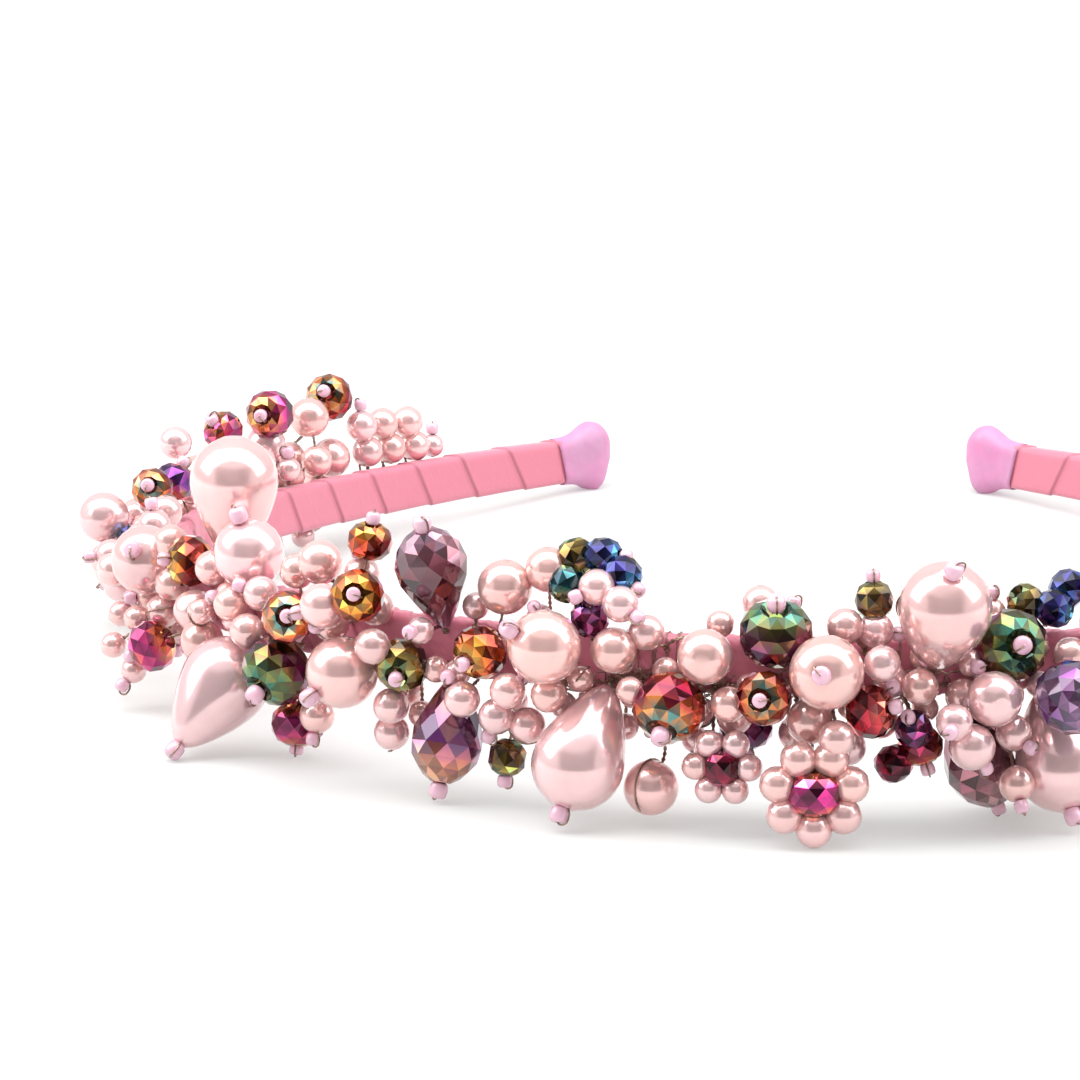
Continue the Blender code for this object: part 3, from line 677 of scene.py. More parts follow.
def finish(slot):
    """Material of a slot, made once."""
    if slot not in made_finishes:
        if slot == "ribbon":
            made_finishes[slot] = ribbon_finish()
        elif slot == "end_cap":
            made_finishes[slot] = sleeve_finish()
        else:
            made_finishes[slot] = plain_finish(*PLAIN_FINISHES[slot])
    return made_finishes[slot]


# Stones, each made once along +Z and then copied

def rim_grown(shape, rim):
    """Edges of a new ring, drawn out of the last one."""
    grown = bmesh.ops.extrude_edge_only(shape, edges=rim)["geom"]
    return [item for item in grown if isinstance(item, bmesh.types.BMEdge)]


def smoothed(faces):
    """Make faces smooth, except flat ends of many corners."""
    for face in faces:
        face.smooth = len(face.verts) < 5


def closed_and_outward(shape):
    """Merge doubles, close what is open and point the faces outwards."""
    bmesh.ops.remove_doubles(shape, verts=shape.verts, dist=SMALLEST_EDGE)
    bmesh.ops.holes_fill(shape, edges=[edge for edge in shape.edges if edge.is_boundary])
    bmesh.ops.recalc_face_normals(shape, faces=shape.faces)


def turned(outline, length, width, sides):
    """Solid of revolution about Z: a ring drawn up and scaled step by step, then closed."""
    shape = bmesh.new()
    bmesh.ops.create_circle(shape, segments=sides, radius=width / 2.0)
    rim = shape.edges[:]
    low, wide = 0.0, 1.0
    for high, narrow in outline:
        if high > outline[0][0]:
            rim = rim_grown(shape, rim)
        verts = list({vertex for edge in rim for vertex in edge.verts})
        bmesh.ops.translate(shape, vec=(0.0, 0.0, (high - low) * length), verts=verts)
        bmesh.ops.scale(shape, vec=(narrow / wide, narrow / wide, 1.0), verts=verts)
        low, wide = high, narrow
    closed_and_outward(shape)
    return shape


def eased(outline, steps):
    """Smooth curve through an outline's points."""
    points = [Vector(point) for point in outline]
    ends = [2.0 * points[0] - points[1]] + points + [2.0 * points[-1] - points[-2]]
    curve = []
    for index in range(1, len(ends) - 2):
        before, near, far, after = ends[index - 1:index + 3]
        for step in range(steps):
            share = step / steps
            curve.append(0.5 * (2.0 * near + (far - before) * share
                                + (2.0 * before - 5.0 * near + 4.0 * far - after) * share ** 2
                                + (3.0 * near - before - 3.0 * far + after) * share ** 3))
    return curve + [points[-1]]


def round_pearl(diameter):
    """Round pearl with the dimple of its drilled hole at each end."""
    shape = bmesh.new()
    rings = LARGE_PEARL_RINGS if diameter > LARGE_PEARL else SMALL_PEARL_RINGS
    bmesh.ops.create_uvsphere(shape, u_segments=rings * 2 - 4, v_segments=rings,
                              radius=diameter / 2.0)
    polar = diameter / 2.0 * math.cos(math.pi / rings)
    for vertex in shape.verts:
        if abs(vertex.co.z) > polar * 1.001:
            vertex.co.z *= PEARL_DIMPLE
    bmesh.ops.recalc_face_normals(shape, faces=shape.faces)
    smoothed(shape.faces)
    return shape


def drop_pearl():
    """Pear-shaped pearl, its narrow end at the stem."""
    shape = turned(eased(DROP_OUTLINE, 3), DROP_LENGTH, DROP_WIDTH, 28)
    smoothed(shape.faces)
    return shape


def hull_of_rings(rings):
    """Cut stone: the skin round rings of (height, radius, corners, share of a corner turned)."""
    shape = bmesh.new()
    for height, radius, corners, turn in rings:
        matrix = (Matrix.Translation((0.0, 0.0, height))
                  @ Matrix.Rotation(math.tau * turn / corners, 4, "Z"))
        bmesh.ops.create_circle(shape, segments=corners, radius=radius, matrix=matrix)
    result = bmesh.ops.convex_hull(shape, input=shape.verts)
    leftover = [item for item in result["geom_unused"] + result["geom_interior"]
                if isinstance(item, bmesh.types.BMVert)]
    bmesh.ops.delete(shape, geom=list(set(leftover)), context="VERTS")
    loose = [edge for edge in shape.edges if not edge.link_faces]
    bmesh.ops.delete(shape, geom=loose, context="EDGES")
    bmesh.ops.dissolve_limit(shape, angle_limit=math.radians(1.5), verts=shape.verts,
                             edges=shape.edges, use_dissolve_boundaries=False,
                             delimit=set())
    bmesh.ops.recalc_face_normals(shape, faces=shape.faces)
    return shape


def drilled(shape, depth):
    """Sink the mouth of the drilled hole into the two end faces."""
    top = max(vertex.co.z for vertex in shape.verts)
    for sign in (1.0, -1.0):
        ends = [face for face in shape.faces
                if face.normal.z * sign > 0.99 and face.calc_center_median().z * sign > 0.9 * top]
        if not ends:
            continue
        reach = min(vertex.co.xy.length for vertex in ends[0].verts)
        bmesh.ops.inset_region(shape, faces=ends, thickness=reach * (1.0 - HOLE_SHARE),
                               depth=0.0, use_even_offset=True)
        bmesh.ops.translate(shape, vec=(0.0, 0.0, -sign * depth), verts=ends[0].verts)
        bmesh.ops.scale(shape, vec=(HOLE_TAPER, HOLE_TAPER, 1.0), verts=ends[0].verts)
    return shape


def cut_rondelle(diameter, corners, flatness=RONDELLE_FLATNESS):
    """Fire-polished bead: rows of facets from the girdle to a drilled table at each end."""
    half = diameter / 2.0
    high = half * flatness
    rings = [(0.0, half, corners, 0.0)]
    for sign in (-1.0, 1.0):
        for index, (share, wide) in enumerate(RONDELLE_ROWS):
            rings.append((sign * share * high, wide * half, corners, 0.5 * ((index + 1) % 2)))
    return drilled(hull_of_rings(rings), HOLE_DEPTH * high)


def cut_briolette():
    """Long drop cut in rows of diamond facets, its narrow end at the stem."""
    corners = 10
    curve = eased(BRIOLETTE_OUTLINE, 2)
    rings = []
    for index, (high, wide) in enumerate(curve):
        rings.append((high * BRIOLETTE_LENGTH, wide * BRIOLETTE_WIDTH / 2.0, corners,
                      0.5 * (index % 2)))
    return hull_of_rings(rings)


def seed_bead(share, length):
    """Short bead turned from glass tube, with a rounded wall round its hole."""
    width = share * bpy.context.scene.headband_sizes.seed_width
    shape = bmesh.new()
    wall = width * SEED_WALL
    middle = width / 2.0 - wall
    centre = Matrix.Translation((middle, 0.0, 0.0)) @ Matrix.Rotation(math.pi / 2.0, 4, "X")
    bmesh.ops.create_circle(shape, segments=12, radius=wall, matrix=centre)
    for vertex in shape.verts:
        across = (vertex.co.x - middle) / wall
        along = vertex.co.z / wall
        vertex.co.x = middle + wall * math.copysign(abs(across) ** SEED_SQUARE_ACROSS, across)
        vertex.co.z = length / 2.0 * math.copysign(abs(along) ** SEED_SQUARE_ALONG, along)
    bmesh.ops.spin(shape, geom=shape.edges[:], cent=(0.0, 0.0, 0.0), axis=(0.0, 0.0, 1.0),
                   angle=math.tau, steps=14, use_merge=True)
    bmesh.ops.remove_doubles(shape, verts=shape.verts, dist=SMALLEST_EDGE)
    bmesh.ops.recalc_face_normals(shape, faces=shape.faces)
    smoothed(shape.faces)
    return shape


# Slot, maker, half length along the thread, radius surely inside the stone, and what
# holds it on its thread
Kind = namedtuple("Kind", "slot make tip core stop")


def pearl_kind(diameter, stop="loop"):
    """Round pearl of one size."""
    return Kind("pearl", lambda: round_pearl(diameter), diameter / 2.0, 0.46 * diameter, stop)


def rondelle_kind(diameter, corners, stop="small seed"):
    """Flattened cut bead of one size."""
    half = diameter / 2.0 * RONDELLE_FLATNESS
    return Kind("cut_bead", lambda: cut_rondelle(diameter, corners), half, half, stop)


DROP_KIND = Kind("pearl", drop_pearl, DROP_LENGTH / 2.0, 0.36 * DROP_WIDTH, "seed")
KINDS = {
    "pearl_8": pearl_kind(8.0 * MM, "seed"),
    "pearl_6": pearl_kind(6.0 * MM),
    "pearl_6_wired": pearl_kind(6.0 * MM, "wire"),
    "pearl_5": pearl_kind(5.0 * MM),
    "pearl_4": pearl_kind(4.0 * MM),
    "pearl_3": pearl_kind(3.0 * MM),
    "drop": DROP_KIND,
    "drop_turned": DROP_KIND,
    "briolette": Kind("briolette", cut_briolette, BRIOLETTE_LENGTH / 2.0,
                      0.36 * BRIOLETTE_WIDTH, "seed"),
    "rondelle_8": rondelle_kind(8.0 * MM, 12, "seed"),
    "rondelle_6": rondelle_kind(6.0 * MM, 10),
    "rondelle_5": rondelle_kind(5.0 * MM, 9),
    "crystal_4": Kind("cut_bead", lambda: cut_rondelle(4.2 * MM, 8, 0.92), 1.93 * MM, 1.68 * MM,
                      "loop"),
    "seed": Kind("seed_bead", lambda: seed_bead(1.0, 1.8 * MM), 0.90 * MM, 1.05 * MM, None),
    "small seed": Kind("seed_bead", lambda: seed_bead(0.78, 1.4 * MM), 0.70 * MM, 0.82 * MM,
                       None),
}
# Spheres that keep room for a long stone: share of its half length, share of its core
LONG_STONE_ROOM = ((-0.55, 0.75), (-0.1, 1.1), (0.35, 1.35))
# Path of the wire back over a seed bead: share of its length along, of its core off the axis
HOOK_PATH = ((0.7, 0.0), (0.95, 0.03), (1.08, 0.18), (1.13, 0.45), (1.08, 0.75),
             (0.95, 0.97), (0.7, 1.05), (0.4, 1.05), (0.15, 0.9), (-0.08, 0.5))
# Seed bead on a hole: share of its half length from the hole to its middle, how far it leans
# off the thread, and how high and wide the wire's path over it is
SEED_REST = 0.95
SEED_LEAN = 0.18
HOOK_HEIGHT = 1.95
HOOK_WIDTH = 1.12
# Seed beads stay this far over the surface, and pass the solids' top by this at most
SEED_OVER_FLOOR = 0.1 * MM
SEED_OVER_TOP = 0.6 * MM
# Flowers: how far behind the heart their wire's ring and the stem's end lie, and the ring's
# share of the petals' circle
FLOWER_WIRE_BEHIND = 0.9 * MM
FLOWER_STEM_BEHIND = 2.0 * MM
FLOWER_WIRE_SHARE = 0.72
# How much of a stem's foot its binding covers
BINDING_LENGTH = 0.7 * MM
# How often a small stone has a seed bead, or a wire laid over it
SEEDED_SHARE = 0.3
WIRED_SHARE = 0.15
# The side of the low pearl that its wire crosses, as the photo shows
WIRE_SIDE = Vector((-0.55, -0.85, 0.0))
patterns = {}
filled = []


def room_of(kind, matrix):
    """Spheres that stand for a stone when others are fitted round it."""
    made = KINDS[kind]
    if made.tip < 1.5 * made.core:
        return [(matrix.translation.copy(), made.tip)]
    spheres = []
    for share, swell in LONG_STONE_ROOM:
        spheres.append((matrix @ Vector((0.0, 0.0, share * made.tip)), swell * made.core))
    return spheres


def pattern(kind):
    """Mesh of a kind of stone, made once."""
    if kind not in patterns:
        shape = KINDS[kind].make()
        patterns[kind] = bpy.data.meshes.new("pattern_" + kind)
        shape.to_mesh(patterns[kind])
        shape.free()
    return patterns[kind]


class Strung:
    """One piece in the making: its stones, its wires and its materials."""

    def __init__(self, name, seed):
        self.name = name
        self.draw = random.Random(seed)
        self.shape = bmesh.new()
        self.film = self.shape.loops.layers.float_color.new("Film")
        self.slots = []
        self.wires = []

    def index(self, slot):
        """Number of a slot's material on this piece."""
        if slot not in self.slots:
            self.slots.append(slot)
        return self.slots.index(slot)

    def add(self, kind, matrix, tint="plain"):
        """Copy of a stone's pattern, spun at random on its thread and painted."""
        made = KINDS[kind]
        first_vert = len(self.shape.verts)
        first_face = len(self.shape.faces)
        self.shape.from_mesh(pattern(kind))
        self.shape.verts.ensure_lookup_table()
        self.shape.faces.ensure_lookup_table()
        faces = self.shape.faces[first_face:]
        slot = self.index(made.slot)
        for face in faces:
            face.material_index = slot
        self.paint(faces, made, tint)
        spin = Matrix.Rotation(self.draw.uniform(0.0, math.tau), 4, "Z")
        bmesh.ops.transform(self.shape, matrix=matrix @ spin, verts=self.shape.verts[first_vert:])
        filled.extend(room_of(kind, matrix))

    def paint(self, faces, made, tint):
        """Film colours: one soft tone for a pearl, a coating's stops for each facet, with painted
        shade on the tables and hole walls of cut beads.
        """
        if tint == "plain":
            tone = Vector(bpy.context.scene.headband_colours.pearl)
            warm = self.draw.uniform(-0.05, 0.05)
            tone = Vector((tone.x, tone.y - 0.5 * warm, tone.z - warm)) * self.draw.uniform(0.93, 1.06)
            for face in faces:
                for loop in face.loops:
                    loop[self.film] = (*(min(1.0, value) for value in tone), 1.0)
            return
        stops = [Vector(stop) for stop in COATINGS[tint]]
        lean = self.draw.uniform(0.0, math.tau)
        for face in faces:
            shift = self.draw.gauss(0.0, FACET_SHIFT)
            light = 2.0 ** self.draw.gauss(FACET_DIMMING, FACET_CONTRAST)
            middle = face.calc_center_median()
            shift += FACET_LEAN * math.sin(math.atan2(middle.y, middle.x) + lean)
            # The table and the walls of the hole get painted shade: the dark room they would reflect,
            # and the shade inside the hole
            table = (made.slot == "cut_bead" and abs(middle.z) > 0.7 * made.tip
                     and (abs(face.normal.z) > 0.99 or middle.xy.length < 0.45 * made.tip))
            for loop in face.loops:
                high = min(1.0, abs(loop.vert.co.z) / made.tip) ** GIRDLE_SPREAD
                share = min(0.999, max(0.0, high + shift)) * (len(stops) - 1)
                near = int(share)
                tone = stops[near].lerp(stops[near + 1], share - near) * light
                if table:
                    tone *= TABLE_PAINTED_SHADE
                loop[self.film] = (*(min(1.0, value) for value in tone), 1.0)

    def wire(self, points, width):
        """Path of one strand of wire."""
        self.wires.append((points, width))

    def finished(self, slot, *nodes):
        """The piece as a seated object that rides on the root and stands for CAD nodes."""
        if self.wires:
            self.add_wires()
        mesh = bpy.data.meshes.new(self.name)
        self.shape.transform(SEATED)
        self.shape.to_mesh(mesh)
        self.shape.free()
        for used in self.slots:
            mesh.materials.append(finish(used))
        piece = bpy.data.objects.new(self.name, mesh)
        bpy.context.scene.collection.objects.link(piece)
        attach(piece, "root")
        if nodes:
            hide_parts(*nodes)
        return piece

    def add_wires(self):
        """Round strands along the paths, joined to the piece."""
        curve = bpy.data.curves.new(self.name + "_wires", "CURVE")
        curve.dimensions = "3D"
        curve.bevel_depth = 0.5 * MM
        curve.bevel_resolution = 1
        curve.use_fill_caps = True
        for points, width in self.wires:
            spline = curve.splines.new("POLY")
            spline.points.add(len(points) - 1)
            for knot, point in zip(spline.points, points):
                knot.co = (*point, 1.0)
                knot.radius = width / MM
        helper = bpy.data.objects.new(curve.name, curve)
        bpy.context.scene.collection.objects.link(helper)
        mesh = bpy.data.meshes.new_from_object(helper)
        bpy.data.objects.remove(helper)
        bpy.data.curves.remove(curve)
        first_face = len(self.shape.faces)
        self.shape.from_mesh(mesh)
        self.shape.faces.ensure_lookup_table()
        slot = self.index("wire")
        for face in self.shape.faces[first_face:]:
            face.material_index = slot
            face.smooth = True
        bpy.data.meshes.remove(mesh)


def aimed(direction):
    """Turn that brings +Z along a direction."""
    return direction.to_track_quat("Z", "Y").to_matrix().to_4x4()


def centre_of(along, stone, side):
    """Where a stone's middle lies."""
    station = side * (along / 100.0 * half_band() + stone.along / 10.0 * STEM_REACH)
    rise = stone.rise / 10.0 * BAND_WIDTH
    out = BAND_THICKNESS / 2.0 + stone.out / 10.0 * STEM_REACH
    return station, rise, out


def foot_of(along, stones, side):
    """Where a spray's knot, or its lone stem, meets the band."""
    places = [centre_of(along, stone, side) for stone in stones]
    _, rise, out = [sum(values) / len(places) for values in zip(*places)]
    station = side * along / 100.0 * half_band()
    reach = KNOT_DIAMETER / 2.0 if len(places) > 1 else WIRE_DIAMETER / 4.0
    stand = RIBBON_STEP + CLEARANCE + reach
    high = BAND_WIDTH / 2.0
    deep = BAND_THICKNESS / 2.0
    if out > deep + stand:
        inner = high - WIRE_DIAMETER
        return place(station, max(-inner, min(inner, rise)), deep + stand)
    edge = math.copysign(high + stand, rise)
    inner = deep - WIRE_DIAMETER / 2.0
    return place(station, edge, max(-inner, min(inner, out)))


def bent(start, leave, end, arrive, steps):
    """Points of a smooth path that leaves and arrives in given directions."""
    reach = 0.4 * (end - start).length
    pull = start + reach * leave
    push = end - reach * arrive
    points = []
    for step in range(steps + 1):
        share = step / steps
        rest = 1.0 - share
        points.append(rest ** 3 * start + 3.0 * rest ** 2 * share * pull
                      + 3.0 * rest * share ** 2 * push + share ** 3 * end)
    return points


def ring_of(centre, reach, first, second, turn):
    """Point of a circle in the plane of two directions."""
    return centre + reach * (math.cos(turn) * first + math.sin(turn) * second)


def twist(piece, path, strand):
    """Two strands twisted round a path, with a pitch of five strands."""
    pitch = 5.0 * strand
    run = 0.0
    turn = piece.draw.uniform(0.0, math.tau)
    strands = ([], [])
    for index, point in enumerate(path):
        ahead = path[min(index + 1, len(path) - 1)] - path[max(index - 1, 0)]
        ahead.normalize()
        across = ahead.orthogonal().normalized()
        up = ahead.cross(across)
        swing = turn + math.tau * run / pitch
        strands[0].append(ring_of(point, 0.5 * strand, across, up, swing))
        strands[1].append(ring_of(point, -0.5 * strand, across, up, swing))
        if index + 1 < len(path):
            run += (path[index + 1] - point).length
    for points in strands:
        piece.wire(points, strand)


def stem(piece, foot, leave, end, arrive):
    """Twisted stem from the band to a stone."""
    strand = bpy.context.scene.headband_sizes.strand_width
    length = (end - foot).length
    if length < SHORTEST_STEM:
        return
    steps = max(6, int(length / STEM_STEP))
    twist(piece, bent(foot, leave, end, arrive, steps), strand)


def any_side(piece, thread):
    """A random direction square to the thread."""
    across = thread.orthogonal().normalized()
    across.rotate(Matrix.Rotation(piece.draw.uniform(0.0, math.tau), 3, thread))
    return across


def hold(piece, stop, tip, thread):
    """What keeps a stone on its thread: a seed bead on the hole, and the wire back over it."""
    strand = 0.8 * bpy.context.scene.headband_sizes.strand_width
    made = KINDS[stop]
    across = any_side(piece, thread)
    axis = (thread + SEED_LEAN * across).normalized()
    piece.add(stop, Matrix.Translation(tip + made.tip * SEED_REST * axis) @ aimed(axis))
    side = (across - across.dot(axis) * axis).normalized()
    top = HOOK_HEIGHT * made.tip
    wide = HOOK_WIDTH * made.core
    piece.wire([tip + top * along * axis + wide * off * side for along, off in HOOK_PATH],
               strand)


def staple(piece, centre, radius, thread, across):
    """Wire laid down one side of a small stone, from its hole back to the stem."""
    strand = 0.8 * bpy.context.scene.headband_sizes.strand_width
    reach = radius + 0.45 * strand
    steps = 12
    piece.wire([ring_of(centre, reach, thread, across, math.pi * step / steps)
                for step in range(steps + 1)], strand)


def has_room(tip, thread, length):
    """Whether a seed bead at a tip stays above the surface and below the model's top."""
    height = (SEATED @ (tip + thread * length)).z
    return SEED_OVER_FLOOR < height < CAD_BOX[1][2] + SEED_OVER_TOP


def thread_stone(piece, stone, centre, start, side):
    """One stone on its thread, with what holds it; the thread's direction and its near end."""
    made = KINDS[stone.kind]
    if stone.aim:
        away, back, up = stone.aim
        thread = Vector((side * away, back, up)).normalized()
    else:
        thread = (centre - start).normalized()
    turn = aimed(-thread) if stone.kind == "drop_turned" else aimed(thread)
    piece.add(stone.kind, Matrix.Translation(centre) @ turn, stone.tint)
    tip = centre + made.tip * thread
    stop = made.stop
    if stop == "loop" and piece.draw.random() < SEEDED_SHARE:
        stop = "small seed"
    if stop == "wire":
        across = WIRE_SIDE - WIRE_SIDE.dot(thread) * thread
        staple(piece, centre, made.tip, thread, across.normalized())
    elif stop == "loop":
        if piece.draw.random() < WIRED_SHARE:
            staple(piece, centre, made.tip, thread, any_side(piece, thread))
    elif has_room(tip, thread, 2.3 * KINDS[stop].tip):
        hold(piece, stop, tip, thread)
    elif has_room(tip, thread, 1.9 * KINDS["small seed"].tip):
        hold(piece, "small seed", tip - thread * 0.2 * MM, thread)
    return thread, centre - made.tip * thread


def string_flower(piece, stone, centre, outward):
    """A cut stone ringed by pearls that touch it, facing outwards."""
    heart, petal, count = {
        "flower_small": ("crystal_4", "pearl_3", SMALL_FLOWER_PETALS),
        "flower_large": ("rondelle_6", "pearl_4", LARGE_FLOWER_PETALS),
    }[stone.kind]
    upright = Vector((0.0, 0.0, 1.0))
    sideways = upright.cross(outward)
    ring = KINDS[heart].core + KINDS[petal].core - SEAT
    piece.add(heart, Matrix.Translation(centre), stone.tint)
    for index in range(count):
        angle = math.tau * (index + 0.5) / count
        point = ring_of(centre, ring, upright, sideways, angle)
        thread = (point - centre).normalized()
        piece.add(petal, Matrix.Translation(point) @ aimed(thread))
    # The petals' wire runs in a ring behind them
    steps = 24
    behind = centre - FLOWER_WIRE_BEHIND * outward
    reach = FLOWER_WIRE_SHARE * ring
    piece.wire([ring_of(behind, reach, upright, sideways, math.tau * step / steps)
                for step in range(steps + 1)], bpy.context.scene.headband_sizes.strand_width)


def string_spray(piece, along, stones, side):
    """Stones of one spray: near ones touch, the others hang on stems from the foot."""
    foot = foot_of(along, stones, side)
    root = place(side * along / 100.0 * half_band(), 0.0, 0.0)
    placed = []
    for stone in stones:
        station, rise, out = centre_of(along, stone, side)
        centre = place(station, rise, out)
        outward = plan(station)[2].to_3d()
        if stone.kind.startswith("flower"):
            string_flower(piece, stone, centre, outward)
            stem(piece, foot, (foot - root).normalized(),
                 centre - FLOWER_STEM_BEHIND * outward, outward)
            continue
        core = KINDS[stone.kind].core
        start = foot
        gaps = [((centre - other).length - core - room, other, room) for other, room in placed]
        touching = bool(gaps) and min(gaps)[0] < SEAT_REACH
        if touching:
            _, start, room = min(gaps)
            centre = start + (centre - start).normalized() * (core + room - SEAT)
        placed.append((centre, core))
        thread, near_end = thread_stone(piece, stone, centre, start, side)
        stem(piece, foot, (foot - root).normalized(), near_end, thread)
    bind(piece, foot, root)


def bind(piece, foot, root):
    """Few close turns of wire round a spray's foot."""
    strand = bpy.context.scene.headband_sizes.strand_width
    thread = (foot - root).normalized()
    across = thread.orthogonal().normalized()
    up = thread.cross(across)
    around = 8
    steps = 2 * around
    turns = []
    for step in range(steps + 1):
        centre = foot + (step / steps - 0.5) * BINDING_LENGTH * thread
        turns.append(ring_of(centre, strand, across, up, math.tau * step / around))
    piece.wire(turns, strand)


def slot_of(stones):
    """Slot of a spray's first stone."""
    kind = stones[0].kind
    return "pearl" if kind.startswith("flower") else KINDS[kind].slot


# Wrapped band and sleeves

def rim_point(share, width, thickness, corner):
    """Point (rise, out) round a section: from the top's middle, down the inner face, and up."""
    high = width / 2.0 - corner
    deep = thickness / 2.0 - corner
    arc = corner * math.pi / 2.0
    up, down, inward, outward = ((1.0, 0.0), (-1.0, 0.0), (0.0, -1.0), (0.0, 1.0))
    # Each leg: its length, where it starts or turns about, which way it goes, and for a
    # corner which way it leaves its centre
    legs = (
        (deep, (high + corner, 0.0), inward, None),
        (arc, (high, -deep), inward, up),
        (2.0 * high, (high, -deep - corner), down, None),
        (arc, (-high, -deep), down, inward),
        (2.0 * deep, (-high - corner, -deep), outward, None),
        (arc, (-high, deep), outward, down),
        (2.0 * high, (-high, deep + corner), up, None),
        (arc, (high, deep), up, outward),
        (deep, (high + corner, deep), inward, None),
    )
    run = share % 1.0 * sum(leg[0] for leg in legs)
    for length, anchor, ahead, leaving in legs:
        if run <= length:
            break
        run -= length
    run = min(run, length)
    if leaving is None:
        return anchor[0] + run * ahead[0], anchor[1] + run * ahead[1]
    angle = run / corner
    return (anchor[0] + corner * (math.cos(angle) * leaving[0] + math.sin(angle) * ahead[0]),
            anchor[1] + corner * (math.cos(angle) * leaving[1] + math.sin(angle) * ahead[1]))


def on_band(station, share, lift):
    """Point on the band's skin, or off it by a lift."""
    rise, out = rim_point(share, BAND_WIDTH + 2.0 * lift, BAND_THICKNESS + 2.0 * lift,
                          BAND_CORNER + lift)
    return place(station, rise, out)


def ribbon_relief(share, station, bare):
    """How far the ribbon stands off the band: a step on each turn, gathers under stones."""
    step = bpy.context.scene.headband_sizes.ribbon_step
    swell = step * (1.0 - share) if share > 0.01 else 0.0
    rough = abs(noise.noise(Vector((station / GATHER_SPACING, GATHER_ROW, 0.0))))
    crease = 1.0 - min(1.0, 2.5 * rough)
    return swell + (0.0 if station > bare else GATHER_HEIGHT) * (1.0 - crease ** 2)


def wrap_half(shape, layer, side):
    """One long strip of ribbon wound from the crown to a sleeve, each turn over the last."""
    around = 36
    # Shares of the ribbon's width: its edge stands up steeply, and the rest slopes down
    across = [0.0, 0.02] + [0.07 * step for step in range(1, 14)] + [1.0]
    rows = len(across) - 1
    end = half_band() - CAP_LENGTH + RIBBON_TAIL
    bare = half_band() - CAP_LENGTH - BARE_STRETCH
    columns = (int(end / WRAP_PITCH) + 2) * around
    grid = bmesh.ops.create_grid(shape, x_segments=columns, y_segments=rows, size=0.5)
    spots = {}
    for vertex in grid["verts"]:
        column = round((vertex.co.x + 0.5) * columns)
        spots[vertex] = (column / around, across[round((vertex.co.y + 0.5) * rows)])
    for face in {face for vertex in grid["verts"] for face in vertex.link_faces}:
        face.smooth = True
        for loop in face.loops:
            turn, share = spots[loop.vert]
            loop[layer].uv = (turn * BAND_GIRTH, share * WRAP_PITCH / MM)
    for vertex, (turn, share) in spots.items():
        run = (turn + share - 1.0) * WRAP_PITCH
        station = max(0.0, min(end, run))
        lift = ribbon_relief(share, station, bare) if 0.0 < run < end else 0.0
        vertex.co = on_band(side * station, turn, lift)


def wrapped_band():
    """The whole wrapped band as one closed skin."""
    piece = Strung("wrapped_band", 1)
    layer = piece.shape.loops.layers.uv.new("UVMap")
    wrap_half(piece.shape, layer, 1.0)
    wrap_half(piece.shape, layer, -1.0)
    piece.index("ribbon")
    merge = 0.01 * MM
    bmesh.ops.remove_doubles(piece.shape, verts=piece.shape.verts, dist=merge)
    bmesh.ops.dissolve_degenerate(piece.shape, edges=piece.shape.edges, dist=merge)
    bmesh.ops.holes_fill(piece.shape, edges=[edge for edge in piece.shape.edges
                                             if edge.is_boundary])
    bmesh.ops.recalc_face_normals(piece.shape, faces=piece.shape.faces)
    return piece.finished("ribbon", "ribbon_band")


# Sleeve sections from the mouth to the nose: share of the length, share of the flare
SLEEVE_FLARE = (
    (0.0, 0.0), (0.20, 0.06), (0.36, 0.25), (0.50, 0.62), (0.61, 0.90), (0.70, 1.0),
    (0.80, 0.86), (0.88, 0.52), (0.94, 0.05), (0.98, -0.60), (1.0, -1.25),
)


def fitted_sleeve(name, node, side):
    """Sleeve over one end: thin at its mouth, flared, and rounded off at its nose."""
    piece = Strung(name, 2)
    piece.index("end_cap")
    shape = piece.shape
    start = half_band() - CAP_LENGTH
    mouth_width = BAND_WIDTH + 2.0 * RIBBON_STEP + MOUTH_SPARE
    mouth_thickness = BAND_THICKNESS + 2.0 * RIBBON_STEP + MOUTH_SPARE
    # Rings of (share of the length, width and thickness past the mouth's), the inside first
    rings = [(0.30, SLEEVE_INSIDE, SLEEVE_INSIDE), (0.01, SLEEVE_INSIDE, SLEEVE_INSIDE)]
    for along, flare in eased(SLEEVE_FLARE, 3):
        rings.append((along, flare * (CAP_HEIGHT - mouth_width),
                      flare * (CAP_THICKNESS - mouth_thickness)))
    bmesh.ops.create_circle(shape, segments=36, radius=1.0)
    rim = shape.edges[:]
    # Each ring is first drawn out to a height that tells its number
    for number in range(len(rings)):
        if number:
            rim = rim_grown(shape, rim)
        for vertex in {vertex for edge in rim for vertex in edge.verts}:
            vertex.co.z = float(number)
    for vertex in shape.verts:
        along, taller, thicker = rings[round(vertex.co.z)]
        share = math.atan2(vertex.co.y, vertex.co.x) / math.tau
        width = mouth_width + taller
        thickness = mouth_thickness + thicker
        rise, out = rim_point(share, width, thickness, min(0.46 * thickness, 0.40 * width))
        high = 2.0 * rise / width
        rise += max(0.0, high) * 0.2 * max(0.0, taller)
        # The mouth reaches further along the top edge, and the nose slants in below
        slant = (1.0 - along) * (0.5 - 0.8 * high) + 1.3 * along ** 3 * min(0.0, high)
        vertex.co = place(side * (start + along * CAP_LENGTH + slant * MM), rise, out)
    closed_and_outward(shape)
    smoothed(shape.faces)
    flat_on_floor(shape)
    return piece.finished("end_cap", node)


def flat_on_floor(shape):
    """Cut away what would lie below the surface, and close the cut."""
    level = SEATED.inverted()
    geometry = shape.verts[:] + shape.edges[:] + shape.faces[:]
    bmesh.ops.bisect_plane(shape, geom=geometry, plane_co=level.to_translation(),
                           plane_no=level.to_3x3() @ Vector((0.0, 0.0, -1.0)),
                           clear_outer=True, dist=SMALLEST_EDGE)
    closed_and_outward(shape)


